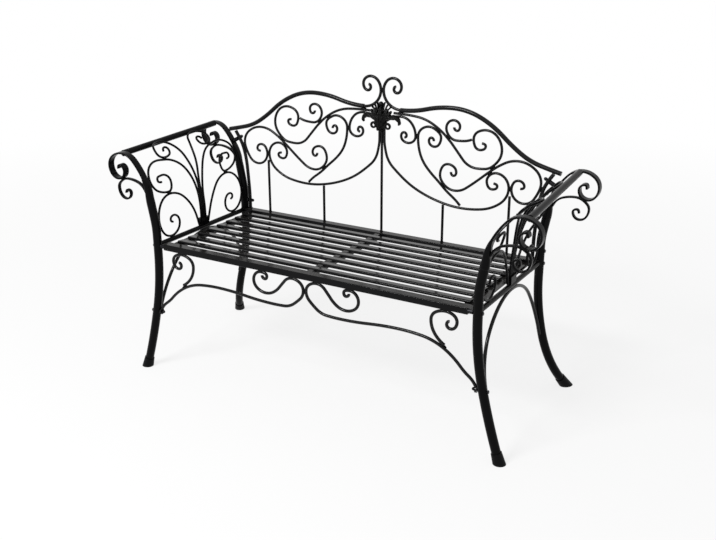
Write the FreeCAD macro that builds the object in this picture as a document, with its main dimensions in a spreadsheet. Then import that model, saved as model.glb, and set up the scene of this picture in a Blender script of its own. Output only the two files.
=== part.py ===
import FreeCAD, Part
import Sketcher
import math
import os
from FreeCAD import Placement, Rotation, Vector

# Wrought iron garden bench: two welded side frames, a slatted seat, a scrolled back and a front apron.
# X runs along the bench, Y to its back, Z up. The origin is on the floor, midway between the feet.
# Lengths are in millimetres and angles in degrees.

doc = FreeCAD.newDocument("garden_bench")
sheet = doc.addObject("Spreadsheet::Sheet", "Sizes")

SIZES = {
    # seat height at mid depth and the backward slope of the seat
    "seat_height": 422.0,
    "seat_tilt": 2.0,
    # legs: distance of the leg planes, half spacing at the waist, outward and backward spread at the floor
    "leg_plane_gap": 456.0,
    "waist_half": 520.0,
    "waist_drop": 20.0,
    "waist_rise": 33.0,
    "foot_spread": 79.0,
    "foot_lean": 17.5,
    "rear_waist_drop": 62.0,
    "rear_foot_spread": 88.0,
    "rear_foot_lean": 24.0,
    "rear_foot_splay": 62.0,
    "rear_foot_back_lean": 33.0,
    "rear_heel": 3.8,
    "leg_rise": 148.0,
    "leg_flare": 17.0,
    "leg_top_lean": 11.0,
    "leg_diameter": 26.0,
    "leg_wall": 1.5,
    "leg_tip": 22.0,
    # foot caps
    "cap_base": 36.0,
    "cap_neck": 30.0,
    "cap_height": 24.0,
    "cap_sole": 4.0,
    # arm straps and rails of a side frame
    "strap_width": 24.0,
    "strap_thickness": 6.0,
    "lower_strap_width": 12.0,
    "lower_strap_lean": 18.0,
    "arm_rail_diameter": 19.0,
    "arm_rail_wall": 1.5,
    "side_rail_diameter": 15.0,
    "side_rail_drop": 7.5,
    "arch_rod": 10.0,
    "arch_foot_height": 188.0,
    "fan_rod": 7.0,
    "collar_height": 22.0,
    "collar_wall": 4.0,
    # back panel
    "back_rise": 414.0,
    "scroll_rod": 8.0,
    "top_rail_rod": 13.5,
    "finial_rod": 9.0,
    "stile_rod": 11.0,
    "stile_standoff": 4.0,
    "stile_reach": 31.0,
    "upright_rod": 8.0,
    "rosette_height": 100.0,
    "rosette_depth": 16.0,
    # front apron
    "apron_rod": 9.0,
    "apron_bolt_height": 203.0,
    "apron_eye": 18.0,
    "apron_eye_thickness": 5.0,
    # seat
    "slat_width": 30.0,
    "slat_thickness": 9.0,
    "slat_wall": 1.2,
    "slat_inset": 14.0,
    "slat_count": 8.0,
    "seat_rail_width": 30.0,
    "seat_rail_height": 19.0,
    "seat_rail_wall": 1.5,
    "seat_rail_corner": 2.5,
    "seat_rail_plug": 14.0,
    "front_rail_gap": 14.0,
    "front_rail_lead": 6.0,
    "rear_rail_lag": 9.0,
    "end_bar_width": 30.0,
    "end_bar_height": 10.0,
    "centre_bar_width": 16.0,
    "centre_bar_sink": 2.0,
    # fasteners
    "bolt_diameter": 6.0,
    "bolt_play": 0.5,
    "bolt_head_diameter": 12.0,
    "bolt_head_height": 2.5,
    "seat_bolt_grip": 10.0,
    "spacer_diameter": 13.0,
    "back_bolt_rise": 28.0,
    "nut_diameter": 11.0,
    "nut_height": 5.0,
    # gap left by the weld between two pieces
    "weld_gap": 0.3,
}
for row, (alias, value) in enumerate(SIZES.items(), start=1):
    sheet.set("A%d" % row, alias)
    sheet.set("B%d" % row, str(value))
    sheet.setAlias("B%d" % row, alias)
doc.recompute()


def size(alias):
    return float(sheet.get(alias))


GAP = size("weld_gap")
LEG_RADIUS = size("leg_diameter") / 2
STRAP_HALF = size("strap_thickness") / 2
SIDES = {"left": -1, "right": 1}
TILT = math.tan(math.radians(size("seat_tilt")))
FRONT_Y = -(size("leg_plane_gap") + size("rear_foot_splay") + size("rear_heel")) / 2
REAR_Y = FRONT_Y + size("leg_plane_gap")
MID_Y = (FRONT_Y + REAR_Y) / 2
BENCH_AXIS = Vector(1, 0, 0)
DEPTH_AXIS = Vector(0, 1, 0)
UP_AXIS = Vector(0, 0, 1)


# Paths: a bent bar follows stations, each a point with the direction of the bar there,
# joined by two tangent arcs from one station to the next.

def bend(start, direction, end):
    chord = end - start
    sideways = chord - direction * chord.dot(direction)
    if sideways.Length < 1e-6 * chord.Length:
        return Part.LineSegment(start, end).toShape()
    sideways.normalize()
    radius = chord.dot(chord) / (2 * chord.dot(sideways))
    centre = start + sideways * radius
    halfway = (start - centre) + (end - centre)
    halfway.normalize()
    if chord.dot(direction) < 0:
        halfway = halfway * -1
    return Part.Arc(start, centre + halfway * radius, end).toShape()


def two_bends(start, start_direction, end, end_direction):
    chord = end - start
    along = chord.dot(start_direction + end_direction)
    turn = 2 * (1 - start_direction.dot(end_direction))
    reach = chord.dot(chord) / (along + math.sqrt(along * along + turn * chord.dot(chord)))
    first = start + start_direction * reach
    last = end - end_direction * reach
    middle = (first + last) / 2
    middle_direction = (last - first).normalize()
    return [bend(start, start_direction, middle), bend(middle, middle_direction, end)]


def path_edges(stations):
    edges = []
    for (start, start_direction), (end, end_direction) in zip(stations, stations[1:]):
        edges += two_bends(start, start_direction, end, end_direction)
    return edges


def bent_wire(stations):
    return Part.Wire(path_edges(stations))


def station(place, across, height, heading, shift=0.0):
    """A point of a drawn panel with its heading, moved to the left of the heading by shift."""
    turn = math.radians(heading)
    step = 0.01
    here = place(across, height)
    ahead = place(across + step * math.cos(turn), height + step * math.sin(turn)) - here
    ahead.normalize()
    left = place(across - step * math.sin(turn), height + step * math.cos(turn)) - here
    left = (left - ahead * left.dot(ahead)).normalize()
    return here + left * shift, ahead


def drawn(place, points):
    return [station(place, *point) for point in points]


def butted(target, direction, target_radius, own_radius):
    """The end of a bar that runs along direction and stops square against a target bar."""
    point, target_direction = target
    lean = abs(direction.dot(target_direction))
    square = math.sqrt(1 - lean * lean)
    return point - direction * ((target_radius + GAP + own_radius * lean) / square), direction


# Swept bars: a round or flat section carried along a bent wire.

def spine(name, stations):
    path = doc.addObject("Part::Feature", name + "_path")
    path.Shape = bent_wire(stations)
    return path


def sweep(name, stations, section):
    path = spine(name, stations)
    bar = doc.addObject("Part::Sweep", name)
    bar.Sections = [section]
    bar.Spine = (path, ["Edge%d" % number for number in range(1, len(path.Shape.Edges) + 1)])
    bar.Solid = True
    bar.Label = name
    return bar


def rod(name, stations, diameter):
    """A round bar; diameter is an expression on the sheet."""
    start, direction = stations[0]
    section = doc.addObject("Part::Circle", name + "_section")
    section.setExpression("Radius", "(%s) / 2" % diameter)
    section.Placement = Placement(start, Rotation(DEPTH_AXIS, Vector(), direction, "ZXY"))
    return sweep(name, stations, section)


def slot_outline(sketch, name, width, thickness):
    """A flat outline with round ends, its width along the sketch's own x; sizes are sheet expressions."""
    half = 10.0
    radius = 3.0
    first = sketch.GeometryCount
    left_end = Part.Circle(Vector(-half, 0, 0), UP_AXIS, radius)
    right_end = Part.Circle(Vector(half, 0, 0), UP_AXIS, radius)
    sketch.addGeometry(Part.ArcOfCircle(left_end, math.pi / 2, 3 * math.pi / 2))
    sketch.addGeometry(Part.ArcOfCircle(right_end, -math.pi / 2, math.pi / 2))
    sketch.addGeometry(Part.LineSegment(Vector(-half, -radius, 0), Vector(half, -radius, 0)))
    sketch.addGeometry(Part.LineSegment(Vector(half, radius, 0), Vector(-half, radius, 0)))
    left, right, lower, upper = range(first, first + 4)
    sketch.addConstraint([
        Sketcher.Constraint("Tangent", left, 2, lower, 1),
        Sketcher.Constraint("Tangent", lower, 2, right, 1),
        Sketcher.Constraint("Tangent", right, 2, upper, 1),
        Sketcher.Constraint("Tangent", upper, 2, left, 1),
        Sketcher.Constraint("Symmetric", left, 3, right, 3, -1, 1),
        Sketcher.Constraint("Horizontal", lower),
    ])
    round_end = sketch.addConstraint(Sketcher.Constraint("Radius", left, radius))
    spread = sketch.addConstraint(Sketcher.Constraint("DistanceX", left, 3, right, 3, 2 * half))
    sketch.renameConstraint(round_end, name + "_round")
    sketch.renameConstraint(spread, name + "_spread")
    sketch.setExpression("Constraints.%s_round" % name, "(%s) / 2" % thickness)
    sketch.setExpression("Constraints.%s_spread" % name, "(%s) - (%s)" % (width, thickness))


def strap(name, stations, width):
    """A flat bar with round edges, its width along the bench's depth; width is an expression on the sheet."""
    start, direction = stations[0]
    section = doc.addObject("Sketcher::SketchObject", name + "_section")
    slot_outline(section, "strap", width, "Sizes.strap_thickness")
    section.Placement = Placement(start, Rotation(DEPTH_AXIS, Vector(), direction, "ZXY"))
    return sweep(name, stations, section)


# Straight pieces and their cuts.

def cylinder(name, start, direction, diameter, length):
    """A round bar from start along direction; diameter and length are expressions on the sheet."""
    bar = doc.addObject("Part::Cylinder", name)
    bar.setExpression("Radius", "(%s) / 2" % diameter)
    bar.setExpression("Height", length)
    bar.Placement = Placement(start, Rotation(UP_AXIS, direction))
    return bar


def cut(name, base, tools):
    tool = tools[0]
    if len(tools) > 1:
        tool = doc.addObject("Part::MultiFuse", name + "_tools")
        tool.Shapes = tools
    piece = doc.addObject("Part::Cut", name)
    piece.Base = base
    piece.Tool = tool
    piece.Label = name
    return piece


def fuse(name, shapes):
    piece = doc.addObject("Part::MultiFuse", name)
    piece.Shapes = shapes
    piece.Label = name
    return piece


def group(name, pieces):
    """Separate solids of one kind that share a node."""
    compound = doc.addObject("Part::Compound", name)
    compound.Links = pieces
    compound.Label = name
    return compound


def bolt_hole(name, point, direction, length=80.0):
    """A through hole on a bolt's line, wide of the piece on both sides."""
    start = point - direction * (length / 2)
    return cylinder(name, start, direction, "Sizes.bolt_diameter + Sizes.bolt_play", "%f" % length)


nodes = []


def keep(piece):
    nodes.append(piece)
    return piece


# Legs: steel tubes that flare outwards to the floor, the rear ones also backwards, forged flat at the top.

LEG_TOP_HEIGHT = size("seat_height") + size("leg_rise")
LEG_TOP_HALF = size("waist_half") + size("leg_flare")


def slant(direction):
    """How far a direction leaves the upright, as a sine."""
    return math.sqrt(1 - direction.z * direction.z)


def leg_stations(side, plane_y, waist_drop, spread, splay, lean, back_lean):
    outward_lean = math.tan(math.radians(lean))
    upward = Vector(-side * outward_lean, -math.tan(math.radians(back_lean)), 1).normalize()
    on_floor = Vector(side * (size("waist_half") + spread), plane_y + splay, 0)
    end_height = size("cap_sole") + LEG_RADIUS * slant(upward)
    leg_end = on_floor + upward * (end_height / upward.z)
    top_lean = math.radians(size("leg_top_lean"))
    top_direction = Vector(side * math.sin(top_lean), 0, math.cos(top_lean))
    top = Vector(side * LEG_TOP_HALF, plane_y, LEG_TOP_HEIGHT)
    return [
        (leg_end, upward),
        (leg_end + upward * size("cap_height"), upward),
        (Vector(side * size("waist_half"), plane_y, size("seat_height") - waist_drop), UP_AXIS),
        (Vector(side * size("waist_half"), plane_y, size("seat_height") + size("waist_rise")), UP_AXIS),
        (top - top_direction * size("leg_tip"), top_direction),
        (top, top_direction),
    ]


def at_height(edges, height):
    """The point and direction of a rising path at a height."""
    for edge in edges:
        low, high = edge.FirstParameter, edge.LastParameter
        if edge.valueAt(low).z <= height <= edge.valueAt(high).z:
            for _ in range(60):
                middle = (low + high) / 2
                if edge.valueAt(middle).z < height:
                    low = middle
                else:
                    high = middle
            return edge.valueAt(low), edge.tangentAt(low)
    raise ValueError("no point of the path at height %g" % height)


def inward_of(direction, side):
    """The normal of a leg in its own plane, pointing to the middle of the bench."""
    return Vector(-side * direction.z, 0, side * direction.x).normalize()


LEG_PLANES = {"front": FRONT_Y, "rear": REAR_Y}
LEGS = {}
for side_name, side in SIDES.items():
    LEGS["front", side_name] = leg_stations(
        side, FRONT_Y, size("waist_drop"), size("foot_spread"), 0.0, size("foot_lean"), 0.0)
    LEGS["rear", side_name] = leg_stations(
        side, REAR_Y, size("rear_waist_drop"), size("rear_foot_spread"), size("rear_foot_splay"),
        size("rear_foot_lean"), size("rear_foot_back_lean"))


# Arm scrolls: two flat straps fork from the forged tip of each leg, a wide one up to the arm rail
# and a narrow one below it, drawn outwards from the tip.

ARM_BOLT = (20.0, 66.5, 60)
ARM_TOP = (90.0, 124.0, 0)
ARM_KISS = (95.5, 44.7)
STRAP_TOUCH = STRAP_HALF + GAP / 2
ARM_SCROLL = [
    ARM_BOLT,
    ARM_TOP,
    (140.0, 81.0, 270),
    (109.0, 44.5, 180),
    (*ARM_KISS, 152, -STRAP_TOUCH),
    (84.0, 70.0, 90),
    (100.0, 87.0, 0),
    (106.0, 76.0, 270),
]
LOWER_SCROLL = [
    (13.4, 18.0, 63),
    (74.5, 46.6, 0),
    (*ARM_KISS, 332, -STRAP_TOUCH),
    (115.0, 15.0, 270),
    (89.0, -17.0, 180),
    (70.0, 3.0, 90),
    (80.5, 12.0, 0),
    (87.5, 2.0, 270),
]
ARM_RAIL_FRONT = (101.0, 118.0)
ARM_RAIL_REAR = (83.5, 123.0)


def arm_place(side, plane_y):
    return lambda across, height: Vector(side * (LEG_TOP_HALF + across), plane_y, LEG_TOP_HEIGHT + height)


def arm_stations(end, side_name):
    side = SIDES[side_name]
    top, direction = LEGS[end, side_name][-1]
    start = top + direction * GAP + inward_of(direction, side) * STRAP_TOUCH
    return [(start, direction)] + drawn(arm_place(side, LEG_PLANES[end]), ARM_SCROLL)


def lower_stations(end, side_name):
    side = SIDES[side_name]
    top, direction = LEGS[end, side_name][-1]
    outward = inward_of(direction, side) * -1
    lean = math.radians(size("lower_strap_lean"))
    away = direction * math.cos(lean) + outward * math.sin(lean)
    start = top + direction * (GAP + STRAP_HALF * math.sin(lean)) + outward * STRAP_TOUCH
    return [(start, away)] + drawn(arm_place(side, LEG_PLANES[end]), LOWER_SCROLL)


# The outline that the side frames follow, from the floor to the top of the arm.
PROFILE = path_edges(LEGS["front", "right"][:-2] + arm_stations("front", "right")[:3])


def profile_half(height):
    return at_height(PROFILE, height)[0].x


# Bolt lines, used for the bolts and for the holes that they pass through.

def seat_top(depth_y):
    return size("seat_height") - (depth_y - MID_Y) * TILT


RAIL_MIDDLE = size("seat_rail_height") / 2
BACK_BOLT_HEIGHT = seat_top(REAR_Y) + size("back_bolt_rise")
BOLTS = {}
LEANS = {}
for side_name, side in SIDES.items():
    for key, height in ((("seat", "front"), seat_top(FRONT_Y) - RAIL_MIDDLE),
                        (("seat", "rear"), seat_top(REAR_Y) - RAIL_MIDDLE),
                        (("back", "rear"), BACK_BOLT_HEIGHT),
                        (("apron", "front"), size("apron_bolt_height"))):
        point, direction = at_height(path_edges(LEGS[key[1], side_name]), height)
        BOLTS[(*key, side_name)] = (point, Vector(-side, 0, 0))
        LEANS[(*key, side_name)] = abs(direction.x) / direction.z
    point, direction = station(arm_place(side, REAR_Y), *ARM_BOLT)
    BOLTS["back", "arm", side_name] = (point, inward_of(direction, side))


def leg_seat(key, width):
    """Distance from the bolt's point at which a flat face of a width stands off the leaning leg."""
    lean = LEANS[key]
    return LEG_RADIUS * math.sqrt(1 + lean * lean) + width / 2 * lean + GAP


def holes(name, *keys):
    return [bolt_hole("%s_hole_%d" % (name, number), *BOLTS[key]) for number, key in enumerate(keys, start=1)]


def forged_tip(name, root, tip):
    """The solid end of a leg, drawn out from the round of the tube to the two straps that fork from it."""
    root_point = root[0]
    tip_point, direction = tip
    turn = Rotation(DEPTH_AXIS, Vector(), direction, "ZXY")
    round_end = doc.addObject("Part::Circle", name + "_round")
    round_end.setExpression("Radius", "Sizes.leg_diameter / 2")
    round_end.Placement = Placement(root_point, turn)
    flat_end = doc.addObject("Sketcher::SketchObject", name + "_flat")
    flat_end.Placement = Placement(tip_point, turn)
    slot_outline(flat_end, "flat", "Sizes.strap_width", "2 * Sizes.strap_thickness + Sizes.weld_gap")
    loft = doc.addObject("Part::Loft", name)
    loft.Sections = [round_end, flat_end]
    loft.Solid = True
    return loft


for (end, side_name), stations in LEGS.items():
    name = "%s_leg_%s" % (end, side_name)
    tube = rod(name + "_tube", stations[:-1], "Sizes.leg_diameter")
    bore = rod(name + "_bore", stations[:-1], "Sizes.leg_diameter - 2 * Sizes.leg_wall")
    crossing = [("seat", end, side_name)]
    crossing.append(("apron", end, side_name) if end == "front" else ("back", end, side_name))
    pipe = cut(name + "_pipe", tube, [bore] + holes(name, *crossing))
    keep(fuse(name, [pipe, forged_tip(name + "_tip", stations[-2], stations[-1])]))


for end, side_name in LEGS:
    name = "%s_arm_scroll_%s" % (end, side_name)
    if end == "rear":
        flat = strap(name + "_flat", arm_stations(end, side_name), "Sizes.strap_width")
        keep(cut(name, flat, holes(name, ("back", "arm", side_name))))
    else:
        keep(strap(name, arm_stations(end, side_name), "Sizes.strap_width"))
    name = "%s_lower_scroll_%s" % (end, side_name)
    keep(strap(name, lower_stations(end, side_name), "Sizes.lower_strap_width"))

# Foot caps: moulded boots pushed on the leg ends, flat on the floor.

caps = []
floor_block = doc.addObject("Part::Box", "above_floor")
floor_block.setExpression("Length", "4 * (Sizes.waist_half + Sizes.foot_spread + Sizes.rear_foot_spread)")
floor_block.setExpression("Width", "4 * (Sizes.leg_plane_gap + Sizes.rear_foot_splay)")
floor_block.setExpression("Height", "4 * Sizes.cap_height")
block_length = 4 * (size("waist_half") + size("foot_spread") + size("rear_foot_spread"))
block_width = 4 * (size("leg_plane_gap") + size("rear_foot_splay"))
floor_block.Placement = Placement(Vector(-block_length / 2, -block_width / 2, 0), Rotation())
for (end, side_name), stations in LEGS.items():
    name = "cap_%s_%s" % (end, side_name)
    leg_end, upward = stations[0]
    below = (leg_end.z + size("cap_base") / 2 * slant(upward)) / upward.z
    boot = doc.addObject("Part::Cone", name + "_boot")
    boot.setExpression("Radius1", "Sizes.cap_base / 2")
    boot.setExpression("Radius2", "Sizes.cap_neck / 2")
    boot.setExpression("Height", "%f + Sizes.cap_height" % below)
    boot.Placement = Placement(leg_end - upward * below, Rotation(UP_AXIS, upward))
    socket = cylinder(name + "_socket", leg_end - upward * GAP, upward,
                      "Sizes.leg_diameter + 2 * Sizes.weld_gap", "2 * Sizes.cap_height")
    hollow = cut(name + "_hollow", boot, [socket])
    cap = doc.addObject("Part::Common", name)
    cap.Base = hollow
    cap.Tool = floor_block
    caps.append(cap)
keep(group("foot_caps", caps))

# Rails and arches that join the front and the rear leg of a side frame.

ARM_RAIL_RADIUS = size("arm_rail_diameter") / 2
SIDE_RAIL_RADIUS = size("side_rail_diameter") / 2
FAN_RADIUS = size("fan_rod") / 2
SIDE_RAIL_HEIGHT = size("seat_height") - size("side_rail_drop")
SIDE_RAIL_HALF = profile_half(SIDE_RAIL_HEIGHT)


def arm_rail_centre(side, depth_y):
    """The axis of an arm rail at a depth: it runs from the front arm scroll to the rear one."""
    front = arm_place(side, FRONT_Y)(*ARM_RAIL_FRONT)
    rear = arm_place(side, REAR_Y)(*ARM_RAIL_REAR)
    return front + (rear - front) * ((depth_y - FRONT_Y) / size("leg_plane_gap"))


def side_rail_top(depth_y):
    return SIDE_RAIL_HEIGHT + SIDE_RAIL_RADIUS - (depth_y - MID_Y) * TILT


def arch_place(side):
    return lambda across, height: Vector(side * profile_half(height), MID_Y - across, height)


for side_name, side in SIDES.items():
    name = "arm_rail_" + side_name
    along = (arm_rail_centre(side, REAR_Y) - arm_rail_centre(side, FRONT_Y)).normalize()
    end_clearance = GAP + ARM_RAIL_RADIUS * math.sqrt(1 - along.y * along.y)
    start = arm_rail_centre(side, FRONT_Y + size("strap_width") / 2 + end_clearance)
    rail_length = "(Sizes.leg_plane_gap - Sizes.strap_width - 2 * %f) / %f" % (end_clearance, along.y)
    tube = cylinder(name + "_tube", start, along, "Sizes.arm_rail_diameter", rail_length)
    bore_start = start + along * size("arm_rail_wall")
    bore_diameter = "Sizes.arm_rail_diameter - 2 * Sizes.arm_rail_wall"
    bore_length = rail_length + " - 2 * Sizes.arm_rail_wall"
    bore = cylinder(name + "_bore", bore_start, along, bore_diameter, bore_length)
    keep(cut(name, tube, [bore]))

    slope = Vector(0, 1, -TILT).normalize()
    start_y = FRONT_Y + LEG_RADIUS + 2 * GAP
    start = Vector(side * SIDE_RAIL_HALF, start_y, side_rail_top(start_y) - SIDE_RAIL_RADIUS)
    between_legs = "Sizes.leg_plane_gap - Sizes.leg_diameter - 4 * Sizes.weld_gap"
    rail = cylinder("side_rail_" + side_name, start, slope, "Sizes.side_rail_diameter",
                    "(%s) / cos(Sizes.seat_tilt * 1 deg)" % between_legs)
    rail.Label = "side_rail_" + side_name
    keep(rail)

    beside = LEG_RADIUS + size("arch_rod") / 2 + GAP
    arch_foot = size("arch_foot_height")
    arch_top = SIDE_RAIL_HEIGHT - SIDE_RAIL_RADIUS - size("arch_rod") / 2 - GAP
    front_point, front_direction = at_height(path_edges(LEGS["front", side_name]), arch_foot)
    rear_point, rear_direction = at_height(path_edges(LEGS["rear", side_name]), arch_foot)
    forward = (rear_direction * rear_direction.y - DEPTH_AXIS).normalize()
    stations = [
        (front_point + DEPTH_AXIS * beside, front_direction),
        station(arch_place(side), 0, arch_top, 180),
        (rear_point + forward * beside, rear_direction * -1),
    ]
    keep(rod("leg_arch_" + side_name, stations, "Sizes.arch_rod"))

# Fans of scrolls between the side rail and the arm rail, bundled in a collar at mid depth.

FAN_DRAWN_LOW = 422.0
FAN_DRAWN_HIGH = 688.0
FAN_DRAWN_GAP = 456.0
FAN_TOUCH = FAN_RADIUS + GAP / 2
LEG_FACE = FAN_DRAWN_GAP * (0.5 - LEG_RADIUS / size("leg_plane_gap"))
COLLAR_INNER = 4 * size("fan_rod") + 3 * GAP
FAN_FOOT = FAN_DRAWN_LOW + 2 * GAP
COLLAR_CLEAR = COLLAR_INNER / 2 + size("collar_wall") + 4 * GAP
FAN_LOW_START = (COLLAR_CLEAR + FAN_RADIUS) * FAN_DRAWN_GAP / size("leg_plane_gap")
FAN_TOP_REACH = 80.0
FAN_LOW_KISS = (143.0, 556.6)
FAN_TOP_KISS = (110.0, 650.5)
FAN_SCROLLS = {
    "fan_low": [
        (FAN_LOW_START, FAN_FOOT + FAN_RADIUS / 2, 72),
        (40, 472, 66),
        (*FAN_LOW_KISS, 0, -FAN_TOUCH),
        (LEG_FACE, 484, 270, -FAN_RADIUS - GAP),
        (158, FAN_DRAWN_LOW, 180, -FAN_RADIUS - GAP),
        (118, 461, 90),
        (144, 487, 0),
        (159, 476, 270),
        (150, 468, 180),
    ],
    "fan_middle": [
        (0, FAN_FOOT, 90, -3 * FAN_TOUCH),
        (0, 500, 90, -3 * FAN_TOUCH),
        (40, 603, 58),
        (*FAN_TOP_KISS, 8, -FAN_TOUCH),
        (150, 652, 0),
        (LEG_FACE, 607, 270, -FAN_RADIUS - GAP),
        (*FAN_LOW_KISS, 180, -FAN_TOUCH),
        (124, 587, 90),
        (153, 612, 0),
        (179, 602, 270),
        (165, 594, 180),
    ],
    "fan_top": [
        (0, FAN_FOOT, 90, -FAN_TOUCH),
        (0, 540, 90, -FAN_TOUCH),
        (22, 640, 76),
        (FAN_TOP_REACH, FAN_DRAWN_HIGH, 0),
        (128, 668, 270),
        (*FAN_TOP_KISS, 188, -FAN_TOUCH),
        (71, 669, 90),
        (81, 676, 0),
        (95, 668, 290),
    ],
}


def fan_depth(towards, across):
    return MID_Y + towards * across * size("leg_plane_gap") / FAN_DRAWN_GAP


def arm_rail_touch(depth_y):
    """Height at which a fan scroll that follows the side outline comes up against the arm rail."""
    rail = arm_rail_centre(1, depth_y)
    low, high = LEG_TOP_HEIGHT, LEG_TOP_HEIGHT + ARM_TOP[1]
    for _ in range(50):
        middle = (low + high) / 2
        spot = Vector(profile_half(middle), depth_y, middle)
        if spot.distanceToPoint(rail) > ARM_RAIL_RADIUS + FAN_RADIUS + GAP:
            low = middle
        else:
            high = middle
    return low


FAN_TOPS = {towards: arm_rail_touch(fan_depth(towards, FAN_TOP_REACH)) for towards in (-1, 1)}


def fan_place(side, towards):
    def place(across, height):
        depth_y = fan_depth(towards, across)
        base = side_rail_top(depth_y)
        stretch = (FAN_TOPS[towards] - base) / (FAN_DRAWN_HIGH - FAN_DRAWN_LOW)
        risen = base + (height - FAN_DRAWN_LOW) * stretch
        return Vector(side * profile_half(risen), depth_y, risen)
    return place


for side_name, side in SIDES.items():
    for scroll, points in FAN_SCROLLS.items():
        pair = []
        for end, towards in (("front", -1), ("rear", 1)):
            stations = drawn(fan_place(side, towards), points)
            pair.append(rod("%s_%s_%s" % (scroll, end, side_name), stations, "Sizes.fan_rod"))
        keep(group("%s_%s" % (scroll, side_name), pair))

collars = []
COLLAR_BASE = side_rail_top(MID_Y - COLLAR_INNER / 2 - size("collar_wall")) + 2 * GAP
COLLAR_HALF = profile_half(COLLAR_BASE + size("collar_height") / 2)
for side_name, side in SIDES.items():
    walls = []
    for name, wall, wall_size in (
            ("bore", 0.0, ""),
            ("band", size("collar_wall"), " + 2 * Sizes.collar_wall")):
        box = doc.addObject("Part::Box", "collar_%s_%s" % (name, side_name))
        box.setExpression("Length", "Sizes.fan_rod + 4 * Sizes.weld_gap" + wall_size)
        box.setExpression("Width", "4 * Sizes.fan_rod + 5 * Sizes.weld_gap" + wall_size)
        box.setExpression("Height", "Sizes.collar_height")
        half_length = size("fan_rod") / 2 + 2 * GAP + wall
        half_width = COLLAR_INNER / 2 + GAP + wall
        corner = Vector(side * COLLAR_HALF - half_length, MID_Y - half_width, COLLAR_BASE)
        box.Placement = Placement(corner, Rotation())
        walls.append(box)
    bore, band = walls
    collars.append(cut("collar_" + side_name, band, [bore]))
keep(group("fan_collars", collars))

# Back panel: scrolled rods welded in one plane between two stiles, standing on the rear seat rail.

STILE_FOOT = (497.5, 414.0)
BACK_DRAWN_RISE = 414.0
BACK_BASE = seat_top(REAR_Y)
ROD_RADIUS = size("scroll_rod") / 2
ROD_TOUCH = ROD_RADIUS + GAP / 2
TOP_RADIUS = size("top_rail_rod") / 2
TOP_TOUCH = TOP_RADIUS + GAP / 2
FINIAL_RADIUS = size("finial_rod") / 2
FINIAL_TOUCH = FINIAL_RADIUS + GAP / 2
STILE_RADIUS = size("stile_rod") / 2
UPRIGHT_RADIUS = size("upright_rod") / 2
STILE_HALF = size("waist_half") - LEG_RADIUS - size("stile_standoff") - STILE_RADIUS


def back_place(side):
    def place(across, height):
        risen = BACK_BASE + (height - STILE_FOOT[1]) * size("back_rise") / BACK_DRAWN_RISE
        return Vector(side * across * STILE_HALF / STILE_FOOT[0], REAR_Y, risen)
    return place


CROWN = 797.4
RAIL_START = 62.0
HEART_KISS = (117.0, 731.0)
SIDE_KISS = (206.5, 593.5)
SHOULDER_KISS = (361.0, 666.5)
LOOP_KISS = (417.5, 612.0)
STILE_KISS = (516.0, 622.0)
DRAPE_LOW = (270.0, 531.0)
CURL_SIDE = (299.0, 745.0)
CURL_KISS = (352.6, 649.1)
LOBE_KISS = (187.3, 757.5)
BRANCH_KISS = (219.2, 741.2)
RAIL_REST = (549.0, 681.0, -13.5)
TOP_RAIL = [
    (RAIL_START, CROWN, 0, TOP_TOUCH),
    (234, 828, 0),
    (390, 762, -42),
    (505, 692, -15),
    RAIL_REST,
    (566, 677, -13.5),
]
FINIAL = [
    (RAIL_START - GAP, CROWN, 180, -TOP_TOUCH),
    (0, 858, 90, -FINIAL_TOUCH),
    (38, 897, 0),
    (64, 873, 270),
    (49, 854, 180),
    (39, 864, 90),
    (45, 872, 0),
]
UPPER_SCROLL = [
    (40, CROWN, 0, -ROD_TOUCH),
    (64, CROWN, 0, -ROD_TOUCH),
    (165, 776, -27),
    (*LOBE_KISS, -36, ROD_TOUCH),
    (*BRANCH_KISS, -47, -ROD_TOUCH),
    (232, 722, -50),
    (312, 659, 0),
    (*SHOULDER_KISS, 38, ROD_TOUCH),
    (387, 720, 90),
    (338, 775, 180),
    (*CURL_SIDE, 270),
    (319, 715, 0),
    (337, 728, 90),
    (326, 735, 180),
]
ROSETTE_SCROLL = [
    (42, 783, 6),
    (64, CROWN, 0, -3 * ROD_TOUCH),
    (*HEART_KISS, 270, -ROD_TOUCH),
    (88, 708, 180),
    (65, 727, 90),
    (75, 739, 0),
    (83, 730, 270),
    (77, 724, 180),
]
HEART_SCROLL = [
    (173, 724, 90),
    (165, 733, 180),
    (157, 723, 270),
    (174, 707, 0),
    (196, 736, 90),
    (*LOBE_KISS, 144, ROD_TOUCH),
    (158, 765, 180),
    (*HEART_KISS, 270, ROD_TOUCH),
    (150, 643, -50),
    (*SIDE_KISS, 315, -ROD_TOUCH),
]
HEART_END = -48
BACK_LOWER_SCROLL = [
    (231, 637, 270),
    (239, 627, 0),
    (248, 638, 90),
    (222, 660, 180),
    (196, 625, 270),
    (*SIDE_KISS, 315, ROD_TOUCH),
    (243, 582, 0),
    (311, 619, 40),
    (*CURL_KISS, 40, ROD_TOUCH),
    (*SHOULDER_KISS, 38, -ROD_TOUCH),
    (440, 697, 0),
    (*STILE_KISS, 252, -STILE_RADIUS - GAP - ROD_RADIUS),
    (459, 574, 180),
    (*LOOP_KISS, 90, -ROD_TOUCH),
    (443, 640, 0),
    (460, 625, 270),
    (449, 617, 180),
]
DRAPE = [
    (0, 740, 270, UPRIGHT_RADIUS + GAP + ROD_RADIUS),
    (0, 712, 270, UPRIGHT_RADIUS + GAP + ROD_RADIUS),
    (15, 666, -76),
    (74, 596, -38),
    (178, 545, -16),
    (*DRAPE_LOW, 0),
    (388, 563, 38),
    (*LOOP_KISS, 90, ROD_TOUCH),
    (374, 653, 180),
    (*CURL_KISS, 220, ROD_TOUCH),
    (345, 626, 270),
    (362, 603, 0),
    (378, 614, 90),
    (367, 621, 180),
]
BRANCH_START = 205
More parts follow.
